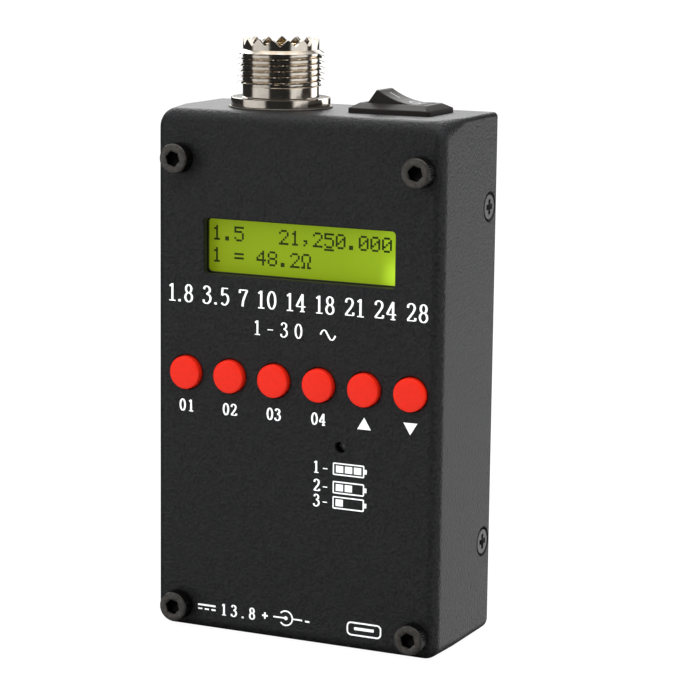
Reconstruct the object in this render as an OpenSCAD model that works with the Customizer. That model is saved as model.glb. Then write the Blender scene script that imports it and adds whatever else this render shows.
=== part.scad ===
// Hand-held antenna analyzer with a two-line display, six keys and a threaded antenna socket.
// Origin at the middle of the case's bottom face, +Z towards the socket, the face looks along -Y.

/* [Case] */
// Width of the case
case_w = 57; // [57:0.5:64]
// Height of the case
case_h = 96.7; // [96:0.5:104]
// Depth of the case, face to back
case_d = 24.5; // [24.5:0.5:30]
// Sheet thickness of the shell
wall = 1.2; // [1:0.1:1.4]
// Radius of the four long edges between the walls
corner_r = 2.8; // [2:0.1:3.5]
// Radius between the face and the walls
face_r = 2.2; // [1.5:0.1:2.4]
// Sheet thickness of the back cover
cover_t = 1.2; // [1:0.1:1.5]
// Gap all round between the cover and the shell
cover_gap = 0.15; // [0.1:0.05:0.3]
// Depth of the cover's side flanges
flange_l = 8; // [6:0.5:9]
// Distance from the ends of the cover's flanges to the top and bottom of the case
flange_in = 6.35; // [5.5:0.05:8]

/* [Screws] */
// Thread diameter of all screws
screw_d = 3; // [3:0.1:3]
// Radial gap between a thread and its tapped hole
thread_gap = 0.05; // [0.03:0.01:0.08]
// Radial gap between a screw and a clearance hole
screw_gap = 0.15; // [0.1:0.05:0.25]
// Head diameter of the panel screws
panel_head_d = 5.5; // [5:0.1:5.8]
// Head height of the panel screws
panel_head_h = 3; // [2:0.1:3.2]
// Key size of the hexagon socket
hex_key = 2.5; // [2:0.1:2.6]
// Depth of the hexagon socket
hex_depth = 1.6; // [1:0.1:1.8]
// Chamfer on the rim of the panel screws
head_chamfer = 0.3; // [0.2:0.05:0.4]
// Length of the panel screws under the head
panel_screw_l = 6; // [5:0.5:6.5]
// Mean distance of the panel screws from the sides of the case
screw_side = 4.6; // [4.5:0.1:5.5]
// Distance of the upper panel screws from the top of the case
screw_top = 8.9; // [8.8:0.1:9.9]
// Height of the lower panel screws
screw_low = 4.3; // [4.3:0.1:5]
// Head diameter of the countersunk cover screws
cover_head_d = 5.4; // [5:0.1:5.6]
// Length of the cover screws
cover_screw_l = 5; // [4:0.5:6]
// Distance of the cover screws from the back
cover_screw_in = 3.2; // [3:0.1:4]
// Height of the lower cover screws
cover_screw_low = 17.6; // [14:0.2:20]
// Distance of the upper cover screws from the top of the case
cover_screw_top = 16.9; // [14.7:0.1:20]
// Width of the slots of a cross recess
cross_w = 0.75; // [0.6:0.05:0.9]
// Length of the slots of a cross recess
cross_l = 2.9; // [2.4:0.1:3]
// Depth of a cross recess
cross_depth = 0.9; // [0.7:0.1:1]
// Head diameter of the board screws
board_head_d = 5.2; // [5:0.1:5.4]
// Head height of the board screws
board_head_h = 1.6; // [1.4:0.1:1.8]
// Length of the board screws under the head
board_screw_l = 4; // [3:0.5:4]

/* [Face] */
// Offset of the face's holes from the middle of the case
panel_x = 0.45; // [0:0.05:0.5]
// Overlap of the window's sides over the display glass
window_lap_x = 2.5; // [2:0.1:3.5]
// Overlap of the window's top and bottom over the display glass
window_lap_z = 2.45; // [2:0.05:3]
// Corner radius of the display window
window_r = 0.7; // [0.4:0.1:1]
// Distance from the top of the case to the middle of the display window
window_drop = 24.7; // [24.2:0.1:25.2]
// Distance from the face to the display glass
glass_recess = 2.5; // [2.2:0.1:2.8]
// Diameter of the lamp hole
lamp_hole_d = 2.1; // [1.8:0.1:2.6]
// Place of the lamp hole across the face
lamp_x = 9.25; // [8:0.05:11]
// Height of the lamp hole
lamp_z = 37.4; // [36:0.1:38.5]

/* [Keys] */
// Number of keys in the row
key_count = 6; // [6]
// Mean distance of the outer keys from the sides of the case
key_side = 6; // [5.8:0.05:6.2]
// Height of the row of keys
key_z = 48.4; // [47.5:0.1:49]
// Diameter of a key cap
cap_d = 6.1; // [5.6:0.1:6.3]
// Height of a key cap above the face
cap_proud = 1.2; // [0.8:0.1:1.6]
// Rounding of a key cap's front edge
cap_round = 0.35; // [0.2:0.05:0.5]
// Radial gap between a key cap and its hole
cap_gap = 0.2; // [0.15:0.05:0.3]
// Diameter of the rim that keeps a cap behind the face
cap_rim_d = 7.4; // [7.2:0.1:7.8]
// Thickness of that rim
cap_rim_t = 0.8; // [0.6:0.1:1]
// Gap between the rim and the face at rest
cap_rim_gap = 0.2; // [0.15:0.05:0.3]
// Length of a key cap
cap_l = 6.25; // [6:0.05:6.4]
// Depth of the hole in a cap that takes the plunger
cap_socket = 3.8; // [3.4:0.1:4]
// Diameter of a plunger
stem_d = 3.4; // [3.2:0.1:3.5]
// Radial gap between a plunger and its cap
stem_gap = 0.05; // [0.03:0.01:0.08]
// Radial gap between a plunger and its switch
stem_guide_gap = 0.15; // [0.1:0.05:0.2]
// Travel of a key
key_travel = 0.3; // [0.25:0.05:0.35]
// Footprint of a key switch
key_switch_w = 6; // [5.8:0.1:6.2]
// Height of a key switch on the board
key_switch_h = 3.5; // [3.3:0.1:3.6]
// Wall of a key switch at its top and floor
key_switch_t = 0.5; // [0.4:0.05:0.6]
// Diameter of the plunger's collar
collar_d = 4.4; // [4.2:0.1:4.6]
// Thickness of the plunger's collar
collar_t = 0.6; // [0.5:0.05:0.8]
// Rattle gap above the plunger's collar
collar_gap = 0.05; // [0.03:0.01:0.1]

/* [Boards] */
// Length of the stand-offs
standoff_l = 8.2; // [8.1:0.1:8.4]
// Key size of the stand-offs
standoff_w = 5; // [4.8:0.1:5]
// Thickness of the main board
board_t = 1.6; // [1.2:0.1:1.8]
// Gap between the main board and the sides of the case
board_side_gap = 0.6; // [0.4:0.1:0.8]
// Gap between the main board and the bottom of the case
board_low_gap = 0.8; // [0.4:0.1:1]
// Gap between the main board's upper corners and the top of the case
board_top_gap = 3.5; // [3:0.1:4]
// Distance from the socket's solder tail down to the board's edge
board_socket_gap = 4.9; // [4.5:0.1:5.5]
// Distance from the switch's blades down to the board's edge
board_switch_gap = 6.2; // [5:0.1:7]
// Gap between the board's cut-outs and what passes them
board_cut_gap = 0.8; // [0.6:0.1:1]
// Thickness of the display's board
lcd_board_t = 1.2; // [1:0.1:1.4]
// Gap between the display's board and the sides of the case
lcd_side_gap = 2.3; // [1.5:0.1:2.6]
// Height of the display's board
lcd_board_h = 21; // [20:0.5:22]
// Width of the display glass
glass_w = 43; // [42:0.5:44]
// Height of the display glass
glass_h = 15; // [14.5:0.5:15.5]
// Thickness of the display glass
glass_t = 1.6; // [1.4:0.1:1.8]
// Thickness of the light guide behind the glass
backlight_t = 2.2; // [2:0.1:2.4]
// Sheet thickness of the display's frame
frame_t = 0.4; // [0.3:0.05:0.5]
// Overlap of the frame over each end of the glass
frame_lap_x = 2.3; // [2:0.1:2.5]
// Overlap of the frame over the glass above and below
frame_lap_z = 2.6; // [2.2:0.1:2.8]
// Gap between the frame's walls and the glass
frame_gap = 0.1; // [0.05:0.05:0.2]
// Number of pins in the display's header
header_pins = 16; // [14:1:16]
// Distance between header pins
header_pitch = 2.54; // [2.5:0.01:2.6]
// Width of the header's body
header_w = 2.4; // [2.2:0.1:2.6]

/* [Antenna socket] */
// Distance of the socket's axis from the left side of the case
socket_side = 18.8; // [18.5:0.1:19.3]
// Place of the socket's axis behind the middle of the case
socket_y = 0.75; // [0:0.05:0.8]
// Width of the washer's rim outside the flange
washer_rim = 0.4; // [0.3:0.05:0.6]
// Thickness of that washer
washer_t = 0.3; // [0.2:0.05:0.5]
// Width of the flange outside the barrel
flange_rim = 2.1; // [1.8:0.1:2.2]
// Thickness of the flange
flange_t = 1.55; // [1.3:0.05:1.8]
// Diameter of the plain neck and of the crown
neck_d = 13.9; // [13.6:0.1:14]
// Height of the plain neck
neck_h = 1.95; // [1.7:0.05:2.4]
// Major diameter of the coupling thread
thread_d = 15.875; // [15.8:0.025:15.9]
// Pitch of the coupling thread
thread_pitch = 1.058; // [1.05:0.002:1.07]
// Number of thread ridges
thread_ridges = 6; // [5:1:6]
// Height of the plain ring over the thread
ring_h = 1.1; // [1:0.1:1.4]
// Height of the crown's teeth
tooth_h = 1.35; // [1:0.05:1.6]
// Number of the crown's teeth
teeth = 15; // [10:1:18]
// Turn of the crown about its axis, in degrees
crown_turn = -4.7; // [-12:0.1:12]
// Diameter of the open bore of the shell
shell_bore_d = 12.4; // [12:0.1:12.6]
// Diameter of the rear barrel that passes the wall
rear_d = 14; // [13.6:0.1:14.2]
// Length of the rear barrel under the flange
rear_l = 7; // [6.5:0.5:8]
// Height of the insulator's front seat over the flange
disc_seat = 0.6; // [0.4:0.1:1]
// Diameter of the insulator's rear part
insulator_d = 9.5; // [9:0.1:9.8]
// Thickness of the insulator's front disc
disc_t = 1.8; // [1.6:0.1:2.2]
// Gap round the insulator
insulator_gap = 0.05; // [0.03:0.01:0.1]
// Outer diameter of the centre contact
contact_d = 5.6; // [5.4:0.1:5.8]
// Bore of the centre contact
contact_bore_d = 4; // [3.98:0.01:4.02]
// Depth of that bore
contact_bore_l = 11.2; // [10.4:0.1:12]
// Length of the contact behind its bore
contact_back = 4.6; // [4:0.1:5]
// Distance from the crown's tips down to the centre contact
contact_drop = 1.1; // [0.8:0.1:1.6]
// Diameter of the contact's solder tail
tail_d = 2.6; // [2.4:0.1:3]
// Length of the contact's solder tail
tail_l = 4; // [3:0.5:4.5]
// Width of the slits in the centre contact
slit_w = 0.4; // [0.3:0.05:0.5]
// Depth of the slits in the centre contact
slit_l = 5; // [4:0.5:6]
// Wall of the nut at the middle of its flats
nut_wall = 1.5; // [1.2:0.1:1.6]
// Thickness of the nut
nut_t = 2.6; // [2.2:0.1:2.8]
// Thickness of the ground lug
lug_t = 0.5; // [0.4:0.05:0.6]
// Width of the ground lug's ring
lug_band = 1.4; // [1.2:0.1:1.5]
// Length and width of the ground lug's tab
lug_tab = 3; // [2.5:0.1:3.5]
// Diameter of the holes for solder in the lug and in the blades
solder_hole_d = 1.4; // [1.2:0.1:1.6]
// Radial gap of the wall, washer, lug and nut round the barrel
barrel_gap = 0.1; // [0.05:0.05:0.2]

/* [Power switch] */
// Distance of the switch's middle from the right side of the case
switch_side = 14.65; // [14.5:0.05:15.2]
// Place of the switch behind the middle of the case
switch_y = 1.95; // [1.5:0.05:2.2]
// Length of the bezel
bezel_l = 16; // [15.8:0.1:16.2]
// Width of the bezel
bezel_w = 11.2; // [11:0.1:11.4]
// Height of the bezel's upright rim
bezel_rim = 0.8; // [0.6:0.05:0.95]
// Height of the bezel
bezel_h = 1.75; // [1.6:0.05:1.9]
// Inset of the bezel's slope at its ends
bezel_slope_x = 1.45; // [1.2:0.05:1.6]
// Inset of the bezel's slope along its sides
bezel_slope_y = 1.9; // [1.7:0.05:1.95]
// Length of the switch body
switch_l = 13; // [12.8:0.1:13.2]
// Width of the switch body
switch_w = 8.8; // [8.6:0.1:9]
// Depth of the switch body under the case top
switch_depth = 12.5; // [11:0.5:13]
// Gap between the switch body and the case
switch_gap = 0.15; // [0.1:0.05:0.2]
// Reach of the snap wedges under the case top
snap = 0.5; // [0.4:0.05:0.6]
// Height of the snap wedges
snap_h = 3; // [2.5:0.1:3.5]
// Length of the rocker's well
well_l = 11.4; // [11.3:0.1:11.6]
// Width of the rocker's well
well_w = 6.7; // [6.6:0.1:6.8]
// Depth of the rocker's well under the case top
well_depth = 7; // [6.5:0.5:8]
// Gap between the rocker and each long side of its well
rocker_gap = 0.15; // [0.1:0.05:0.2]
// Tilt of the rocker at each end of its throw
rocker_tilt = 16.5; // [15:0.5:17]
// Half length of the rocker's top
rocker_top = 4.4; // [4.3:0.05:4.45]
// Height of the rocker's top ends over the pivot
rocker_h = 3.13; // [3:0.01:3.2]
// Half length of the rocker at its widest
rocker_half = 5.4; // [5.3:0.05:5.45]
// Height of that widest place over the pivot
rocker_wide_z = 0.39; // [0.3:0.05:0.5]
// Depth of the rocker under the pivot
rocker_deep = 2.2; // [2:0.1:2.4]
// Half length of the rocker's underside
rocker_foot = 4.4; // [4.2:0.1:4.5]
// Radius of the rocker's hollow top
rocker_dish_r = 14; // [12:0.5:18]
// Diameter of the rocker's pivot pins
pivot_d = 2; // [1.8:0.1:2.1]
// Radial gap round the pivot pins
pivot_gap = 0.05; // [0.03:0.01:0.08]
// Length of each pivot pin
pivot_l = 0.75; // [0.6:0.05:0.8]
// Thickness of the switch's blades
blade_t = 0.7; // [0.6:0.05:0.8]
// Width of the switch's blades
blade_w = 3.2; // [2.8:0.1:3.6]
// Length of the switch's blades under the body
blade_l = 5; // [4:0.5:5.5]
// Length of a blade inside the body
blade_in = 3; // [2:0.5:4]
// Distance between the two blades
blade_pitch = 7; // [6:0.5:8]
// Gap round a blade in the body
blade_gap = 0.05; // [0.03:0.01:0.1]

/* [Power inlet] */
// Distance of the inlet's axis from the left side of the case
inlet_side = 19; // [17.5:0.5:20.5]
// Width of the inlet's housing
inlet_w = 9; // [9:0.1:9.4]
// Gap between the inlet's housing and the back cover
inlet_back_gap = 1.3; // [1.1:0.1:1.7]
// Length of the inlet's housing
inlet_l = 13.2; // [12.5:0.1:14]
// Bore of the inlet
inlet_bore_d = 6.4; // [6.3:0.1:6.6]
// Depth of the inlet's bore
inlet_bore_l = 10; // [9:0.5:10.5]
// Diameter of the inlet's pin
inlet_pin_d = 2; // [1.9:0.1:2.1]
// Diameter of the pin where it passes the housing's back
inlet_root_d = 1.6; // [1.4:0.1:1.7]
// Distance from the housing's mouth to the pin's tip
inlet_pin_in = 1; // [0.8:0.1:1.5]
// Distance from the housing's mouth to the spring contact
spring_in = 2; // [1.5:0.1:2.5]
// Hole in the case for the plug
inlet_hole_d = 7.4; // [7:0.1:8]
// Gap between the jacks and the case
jack_gap = 0.1; // [0.05:0.05:0.2]
// Width of the inlet's spring contact
spring_w = 2.4; // [2:0.1:2.8]
// Thickness of the inlet's spring contact
spring_t = 0.4; // [0.3:0.05:0.5]

/* [Data socket] */
// Distance of the data socket's middle from the right side of the case
data_side = 14.1; // [13.5:0.1:15.5]
// Width of the data socket
data_w = 7.7; // [7.6:0.1:7.8]
// Height of the data socket on the board
data_h = 3.95; // [3.9:0.05:4]
// Length of the data socket
data_l = 9.2; // [9:0.1:9.6]
// Sheet thickness of the data socket's shell
data_t = 0.35; // [0.3:0.05:0.4]
// Distance from the case's bottom up to the socket's mouth
data_in = 0.3; // [0.2:0.1:0.5]
// Gap round the data socket in the case
data_gap = 0.4; // [0.3:0.05:0.5]
// Width of the data socket's tongue
tongue_w = 5; // [4.6:0.1:5.2]
// Thickness of the data socket's tongue
tongue_t = 0.8; // [0.7:0.05:1]
// Thickness of the data socket's back wall
data_back = 2; // [1.5:0.1:2.5]
// Distance from the socket's mouth to the tongue's tip
tongue_in = 1; // [0.8:0.1:1.4]
// Distance from the tongue's foot to the back of the data socket
tongue_back = 0.5; // [0.4:0.1:0.8]

/* [Battery] */
// Width of a battery cell
cell_w = 40; // [36:1:42]
// Height of a battery cell
cell_h = 46; // [40:1:48]
// Gap between the main board and the battery cells
cell_gap = 2.4; // [2:0.1:3]
// Number of battery cells
cell_count = 3; // [3]
// Corner radius of a battery cell
cell_r = 1.4; // [1:0.1:1.5]
// Height of the middle of the battery
cell_z = 44; // [42:0.5:45]
// Thickness of the adhesive pad behind the cells
pad_t = 0.6; // [0.5:0.1:0.8]
// Inset of the pad from the cell's edges
pad_in = 4; // [3:0.5:6]
// Distance from the cells' top to the battery plug
plug_lift = 1.5; // [1:0.1:2]
// Distance from the cell's left edge to the battery wires
battery_wire_in = 6; // [5:0.5:8]
// Place of the battery plug across the board
plug_x = 2; // [0:0.5:3]
// Width of the battery plug
plug_w = 7.5; // [7:0.1:8]
// Length of the battery plug
plug_l = 6; // [5.5:0.1:6.5]
// Height of the battery plug on the board
plug_h = 4.6; // [4:0.1:5]

/* [Parts on the board] */
// Place of the controller chip across the board
chip_x = -9; // [-10:0.5:-8]
// Height of the controller chip in the case
chip_z = 24; // [23.5:0.5:25]
// Side of the controller chip
chip_w = 10; // [9:0.5:11]
// Height of the controller chip
chip_h = 1.4; // [1.2:0.1:1.6]
// Place of the signal chip across the board
signal_x = 9; // [8.5:0.5:9.5]
// Height of the signal chip in the case
signal_z = 26; // [25.5:0.5:27]
// Length of the signal chip
signal_l = 10.2; // [10:0.1:11]
// Width of the signal chip
signal_w = 5.3; // [5:0.1:6]
// Height of the signal chip
signal_h = 1.9; // [1.7:0.1:2]
// Pitch of the chips' legs
leg_pitch = 1.27; // [1:0.01:1.3]
// Width of the chips' legs
leg_w = 0.42; // [0.35:0.01:0.5]
// Reach of the chips' legs
leg_l = 1; // [0.8:0.1:1.2]
// Overlap of the legs' feet with the chip's body
leg_lap = 0.5; // [0.4:0.1:0.6]
// Thickness of the chips' legs
leg_t = 0.2; // [0.15:0.05:0.25]
// Distance of the regulator's middle from the board's right edge
regulator_side = 8.7; // [8:0.1:9]
// Height of the regulator's lower edge in the case
regulator_z = 12; // [11.5:0.1:12.5]
// Width of the regulator
regulator_w = 6.5; // [6:0.1:7]
// Length of the regulator
regulator_l = 6.1; // [5.8:0.1:6.5]
// Height of the regulator
regulator_h = 2.3; // [2:0.1:2.4]
// Reach of the regulator's heat tab
tab_l = 1.6; // [1.4:0.1:2]
// Thickness of the regulator's heat tab
tab_t = 0.5; // [0.4:0.05:0.6]
// Inset of the heat tab at each side
tab_in = 0.6; // [0.4:0.1:0.8]
// Place of the crystal across the board
crystal_x = 3; // [2.5:0.1:3.5]
// Height of the crystal's middle in the case
crystal_z = 14; // [13.5:0.1:14.5]
// Length of the crystal's can
crystal_l = 11; // [10:0.1:11.5]
// Width of the crystal's can
crystal_w = 4.6; // [4.2:0.1:4.8]
// Height of the crystal's can
crystal_h = 3.5; // [3:0.1:4]
// Distance of the outer capacitor's middle from the board's left edge
capacitor_side = 4.7; // [4.2:0.1:5]
// Height of the capacitors in the case
capacitor_z = 33; // [33:0.1:34]
// Gap between the capacitors
capacitor_gap = 1.2; // [1:0.1:1.4]
// Diameter of a capacitor
capacitor_d = 6.3; // [5:0.1:6.5]
// Height of a capacitor
capacitor_h = 5.6; // [5:0.1:6]
// Distance of the contrast trimmer's middle from the board's left edge
trimmer_side = 7.7; // [7.4:0.1:8]
// Height of the contrast trimmer in the case
trimmer_z = 17; // [16:0.5:18]
// Side of the contrast trimmer
trimmer_w = 6.6; // [6:0.1:7]
// Height of the contrast trimmer
trimmer_h = 4.4; // [4:0.1:4.8]
// Diameter of the trimmer's rotor
rotor_d = 3.6; // [3.2:0.1:4]
// Depth of the rotor in the trimmer
rotor_in = 1.6; // [1.2:0.1:2]
// Radial gap round the rotor
rotor_gap = 0.05; // [0.03:0.01:0.08]
// Width of the rotor's screwdriver slot
rotor_slot_w = 0.6; // [0.5:0.05:0.8]
// Depth of the rotor's screwdriver slot
rotor_slot_in = 0.6; // [0.5:0.05:0.8]
// Diameter of the lamp's dome
lamp_d = 3; // [2.8:0.1:3.2]
// Diameter of the lamp's rim
lamp_rim_d = 3.8; // [3.6:0.1:4]
// Gap between the lamp and the face's inner side
lamp_gap = 0.3; // [0.2:0.05:0.5]
// Length of the lamp's body
lamp_l = 5; // [4:0.1:5.5]
// Thickness of the lamp's rim
lamp_rim_t = 1; // [0.8:0.1:1.2]
// Thickness of the lamp's legs
lamp_leg_d = 0.5; // [0.4:0.05:0.6]

/* [Wires] */
// Diameter of a wire
wire_d = 1.2; // [1:0.1:1.3]
// Length over which a wire leaves its terminal straight
wire_lead = 4; // [3:0.5:5]
// Distance between the two battery wires
wire_pitch = 3; // [2.4:0.1:3.4]

/* [Hidden] */
$fn = 64;

// Planes of the case
front = -case_d / 2;
back = case_d / 2;
face_in = front + wall;
top_in = case_h - wall;
side_in = case_w / 2 - wall;
cover_in = back - cover_t;
flange_h = case_h - 2 * flange_in;

// Places that follow the edges of the case
screw_pitch_x = case_w - 2 * screw_side;
panel_z = (case_h - screw_top + screw_low) / 2;
screw_pitch_z = case_h - screw_top - screw_low;
cover_screw_high = case_h - cover_screw_top;
key_pitch = (case_w - 2 * key_side) / (key_count - 1);
window_z = case_h - window_drop;
window_w = glass_w - 2 * window_lap_x;
window_h = glass_h - 2 * window_lap_z;
socket_x = socket_side - case_w / 2;
switch_x = case_w / 2 - switch_side;
inlet_x = inlet_side - case_w / 2;
data_x = case_w / 2 - data_side;

// Planes and edges of the boards and the display, front to back
board_front = face_in + standoff_l;
board_back = board_front + board_t;
board_w = 2 * (side_in - board_side_gap);
board_z0 = wall + board_low_gap;
board_z1 = top_in - board_top_gap;
lcd_board_w = 2 * (side_in - lcd_side_gap);
glass_front = front + glass_recess;
glass_back = glass_front + glass_t;
lcd_board_front = glass_back + backlight_t;
lcd_board_back = lcd_board_front + lcd_board_t;
header_z = window_z - lcd_board_h / 2 + header_w / 2;

// Corners that the panel screws, stand-offs and board screws share
screw_spots = [
    for (sx = [-1, 1], sz = [-1, 1])
        [panel_x + sx * screw_pitch_x / 2, panel_z + sz * screw_pitch_z / 2]
];

// Heights of the antenna socket, bottom to top
flange_z = case_h + washer_t;
neck_z = flange_z + flange_t;
thread_z = neck_z + neck_h;
ring_z = thread_z + thread_ridges * thread_pitch;
tooth_z = ring_z + ring_h;
crown_z = tooth_z + tooth_h;
disc_z = neck_z + disc_seat;
contact_z = crown_z - contact_drop;
rear_z = flange_z - rear_l;
tail_z = contact_z - contact_bore_l - contact_back;
flange_d = rear_d + 2 * flange_rim;
washer_d = flange_d + 2 * washer_rim;
nut_w = rear_d + 2 * nut_wall;
board_mid_z = tail_z - tail_l - board_socket_gap;
board_notch_z = case_h - switch_depth - blade_l - board_switch_gap;

key_front = front - cap_proud;
cap_back = key_front + cap_l;
key_top = board_front - key_switch_h;
inlet_h = cover_in - inlet_back_gap - board_back;
inlet_y = board_back + inlet_h - inlet_w / 2;
inlet_z = wall + jack_gap;
data_y = board_back + data_h / 2;
cells_back = cover_in - pad_t;
cells_front = board_back + cell_gap;
cell_t = (cells_back - cells_front) / cell_count;
cells_top = cell_z + cell_h / 2;
plug_z = cells_top + plug_lift;
trimmer_x = trimmer_side - board_w / 2;

function key_x(i) = panel_x + (i - (key_count + 1) / 2) * key_pitch;

// A box between two opposite corners
module box_at(low, high) {
    translate(low) cube(high - low);
}

// A round bar along Y
module rod_y(x, z, y0, y1, r) {
    translate([x, y0, z]) rotate([-90, 0, 0]) cylinder(h = y1 - y0, r = r);
}

// A rectangle with round corners, about the origin
module round_rect(w, h, r) {
    square([w - 2 * r, h], center = true);
    square([w, h - 2 * r], center = true);
    for (sx = [-1, 1], sy = [-1, 1])
        translate([sx * (w / 2 - r), sy * (h / 2 - r)]) circle(r);
}

// A plate in the XZ plane with round corners, between two depths
module round_plate(x, z, w, h, r, y0, y1) {
    translate([x, y1, z]) rotate([90, 0, 0]) linear_extrude(y1 - y0) round_rect(w, h, r);
}

// A depth profile whose front corners are round
module front_profile(w) {
    translate([-w / 2 + face_r, front]) square([w - 2 * face_r, case_d]);
    translate([-w / 2, front + face_r]) square([w, case_d - face_r]);
    for (s = [-1, 1])
        translate([s * (w / 2 - face_r), front + face_r]) circle(face_r);
}

// Outside of the case
module case_block() {
    intersection() {
        round_plate(0, case_h / 2, case_w, case_h, corner_r, front, back);
        linear_extrude(case_h) front_profile(case_w);
        translate([-case_w / 2, 0, case_h / 2]) rotate([0, 90, 0])
            linear_extrude(case_w) front_profile(case_h);
    }
}

// A countersunk hole or head whose axis points along +X
module countersunk(r_head, r_shank, length) {
    depth = wall;
    translate([-depth, 0, 0]) rotate([0, 90, 0]) cylinder(h = depth, r1 = r_shank, r2 = r_head);
    translate([-length, 0, 0]) rotate([0, 90, 0]) cylinder(h = length - depth, r = r_shank);
}

// Places of the cover screws, each turned so that +X points out of the case
module at_cover_screws() {
    for (s = [-1, 1], z = [cover_screw_low, cover_screw_high])
        translate([s * case_w / 2, back - cover_screw_in, z])
            rotate([0, 0, s > 0 ? 0 : 180]) children();
}

module front_shell() {
    color([0.13, 0.13, 0.14]) difference() {
        case_block();
        round_plate(
            0, case_h / 2, 2 * side_in, case_h - 2 * wall, corner_r - wall, face_in, back + 1);
        round_plate(panel_x, window_z, window_w, window_h, window_r, front - 1, face_in + 1);
        for (i = [1 : key_count])
            rod_y(key_x(i), key_z, front - 1, face_in + 1, cap_d / 2 + cap_gap);
        rod_y(lamp_x, lamp_z, front - 1, face_in + 1, lamp_hole_d / 2);
        for (p = screw_spots)
            rod_y(p[0], p[1], front - 1, face_in + 1, screw_d / 2 + screw_gap);
        translate([socket_x, socket_y, top_in - 1])
            cylinder(h = wall + 2, r = rear_d / 2 + barrel_gap);
        translate([switch_x, switch_y, case_h]) cube(
            [switch_l + 2 * switch_gap, switch_w + 2 * switch_gap, 4 * wall], center = true);
        translate([inlet_x, inlet_y, -1]) cylinder(h = wall + 2, r = inlet_hole_d / 2);
        translate([data_x, data_y, 0])
            cube([data_w + 2 * data_gap, data_h + 2 * data_gap, 4 * wall], center = true);
        at_cover_screws()
            countersunk(cover_head_d / 2 + thread_gap, screw_d / 2 + screw_gap, 2 * wall);
    }
}

module back_cover() {
    w = 2 * (side_in - cover_gap);
    h = case_h - 2 * wall - 2 * cover_gap;
    color([0.13, 0.13, 0.14]) difference() {
        union() {
            round_plate(0, case_h / 2, w, h, corner_r - wall, cover_in, back);
            for (s = [-1, 1])
                translate([s * (w - cover_t) / 2, cover_in - flange_l / 2, case_h / 2])
                    cube([cover_t, flange_l, flange_h], center = true);
        }
        at_cover_screws() translate([-cover_screw_l - 1, 0, 0]) rotate([0, 90, 0])
            cylinder(h = cover_screw_l, r = screw_d / 2);
    }
}

module panel_screws() {
    r = panel_head_d / 2;
    color([0.22, 0.21, 0.2]) for (p = screw_spots)
        translate([p[0], front, p[1]]) rotate([90, 0, 0]) difference() {
            union() {
                cylinder(h = panel_head_h - head_chamfer, r = r);
                translate([0, 0, panel_head_h - head_chamfer])
                    cylinder(h = head_chamfer, r1 = r, r2 = r - head_chamfer);
                translate([0, 0, -panel_screw_l])
                    cylinder(h = panel_screw_l, r = screw_d / 2 - thread_gap);
            }
            translate([0, 0, panel_head_h - hex_depth]) rotate([0, 0, 15])
                cylinder(h = hex_depth + 1, r = hex_key / 2 / cos(30), $fn = 6);
        }
}

module cover_screws() {
    color([0.2, 0.2, 0.2]) at_cover_screws() difference() {
        countersunk(cover_head_d / 2, screw_d / 2 - thread_gap, cover_screw_l);
        for (a = [35, 125]) rotate([a, 0, 0])
            cube([2 * cross_depth, cross_w, cross_l], center = true);
    }
}

module board_standoffs() {
    color([0.75, 0.6, 0.3]) for (p = screw_spots)
        translate([p[0], face_in, p[1]]) rotate([-90, 0, 0]) difference() {
            rotate([0, 0, 30]) cylinder(h = standoff_l, r = standoff_w / 2 / cos(30), $fn = 6);
            translate([0, 0, -1]) cylinder(h = standoff_l + 2, r = screw_d / 2);
        }
}

module board_screws() {
    r = board_head_d / 2;
    color([0.7, 0.7, 0.7]) for (p = screw_spots)
        translate([p[0], board_back, p[1]]) rotate([-90, 0, 0]) difference() {
            union() {
                cylinder(h = board_head_h, r = r);
                translate([0, 0, -board_screw_l])
                    cylinder(h = board_screw_l, r = screw_d / 2 - thread_gap);
            }
            for (a = [45, 135]) rotate([0, 0, a])
                translate([0, 0, board_head_h])
                    cube([cross_l, cross_w, 2 * cross_depth], center = true);
        }
}

module main_board() {
    socket_half = nut_w / 2 / cos(30) + board_cut_gap;
    switch_half = switch_l / 2 + board_cut_gap;
    color([0.05, 0.3, 0.15]) difference() {
        box_at([-board_w / 2, board_front, board_z0], [board_w / 2, board_back, board_z1]);
        box_at(
            [socket_x - socket_half, board_front - 1, board_mid_z],
            [switch_x, board_back + 1, board_z1 + 1]);
        box_at(
            [switch_x - switch_half, board_front - 1, board_notch_z],
            [switch_x + switch_half, board_back + 1, board_z1 + 1]);
        for (p = screw_spots)
            rod_y(p[0], p[1], board_front - 1, board_back + 1, screw_d / 2 + screw_gap);
    }
}

module lcd_board() {
    color([0.05, 0.3, 0.15])
        translate([panel_x, (lcd_board_front + lcd_board_back) / 2, window_z])
            cube([lcd_board_w, lcd_board_t, lcd_board_h], center = true);
}

module lcd_frame() {
    side = frame_gap + frame_t;
    color([0.1, 0.1, 0.1]) difference() {
        round_plate(
            panel_x, window_z, glass_w + 2 * side, glass_h + 2 * side, side,
            glass_front - frame_t, lcd_board_front);
        box_at(
            [panel_x - glass_w / 2 - frame_gap, glass_front, window_z - glass_h / 2 - frame_gap],
            [panel_x + glass_w / 2 + frame_gap, back, window_z + glass_h / 2 + frame_gap]);
        box_at(
            [panel_x - glass_w / 2 + frame_lap_x, front, window_z - glass_h / 2 + frame_lap_z],
            [panel_x + glass_w / 2 - frame_lap_x, back, window_z + glass_h / 2 - frame_lap_z]);
    }
}

module lcd_glass() {
    color([0.6, 0.75, 0.1])
        translate([panel_x, (glass_front + glass_back) / 2, window_z])
            cube([glass_w, glass_t, glass_h], center = true);
}

module lcd_backlight() {
    color([0.9, 0.95, 0.8])
        translate([panel_x, (glass_back + lcd_board_front) / 2, window_z])
            cube([glass_w, backlight_t, glass_h], center = true);
}

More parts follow.
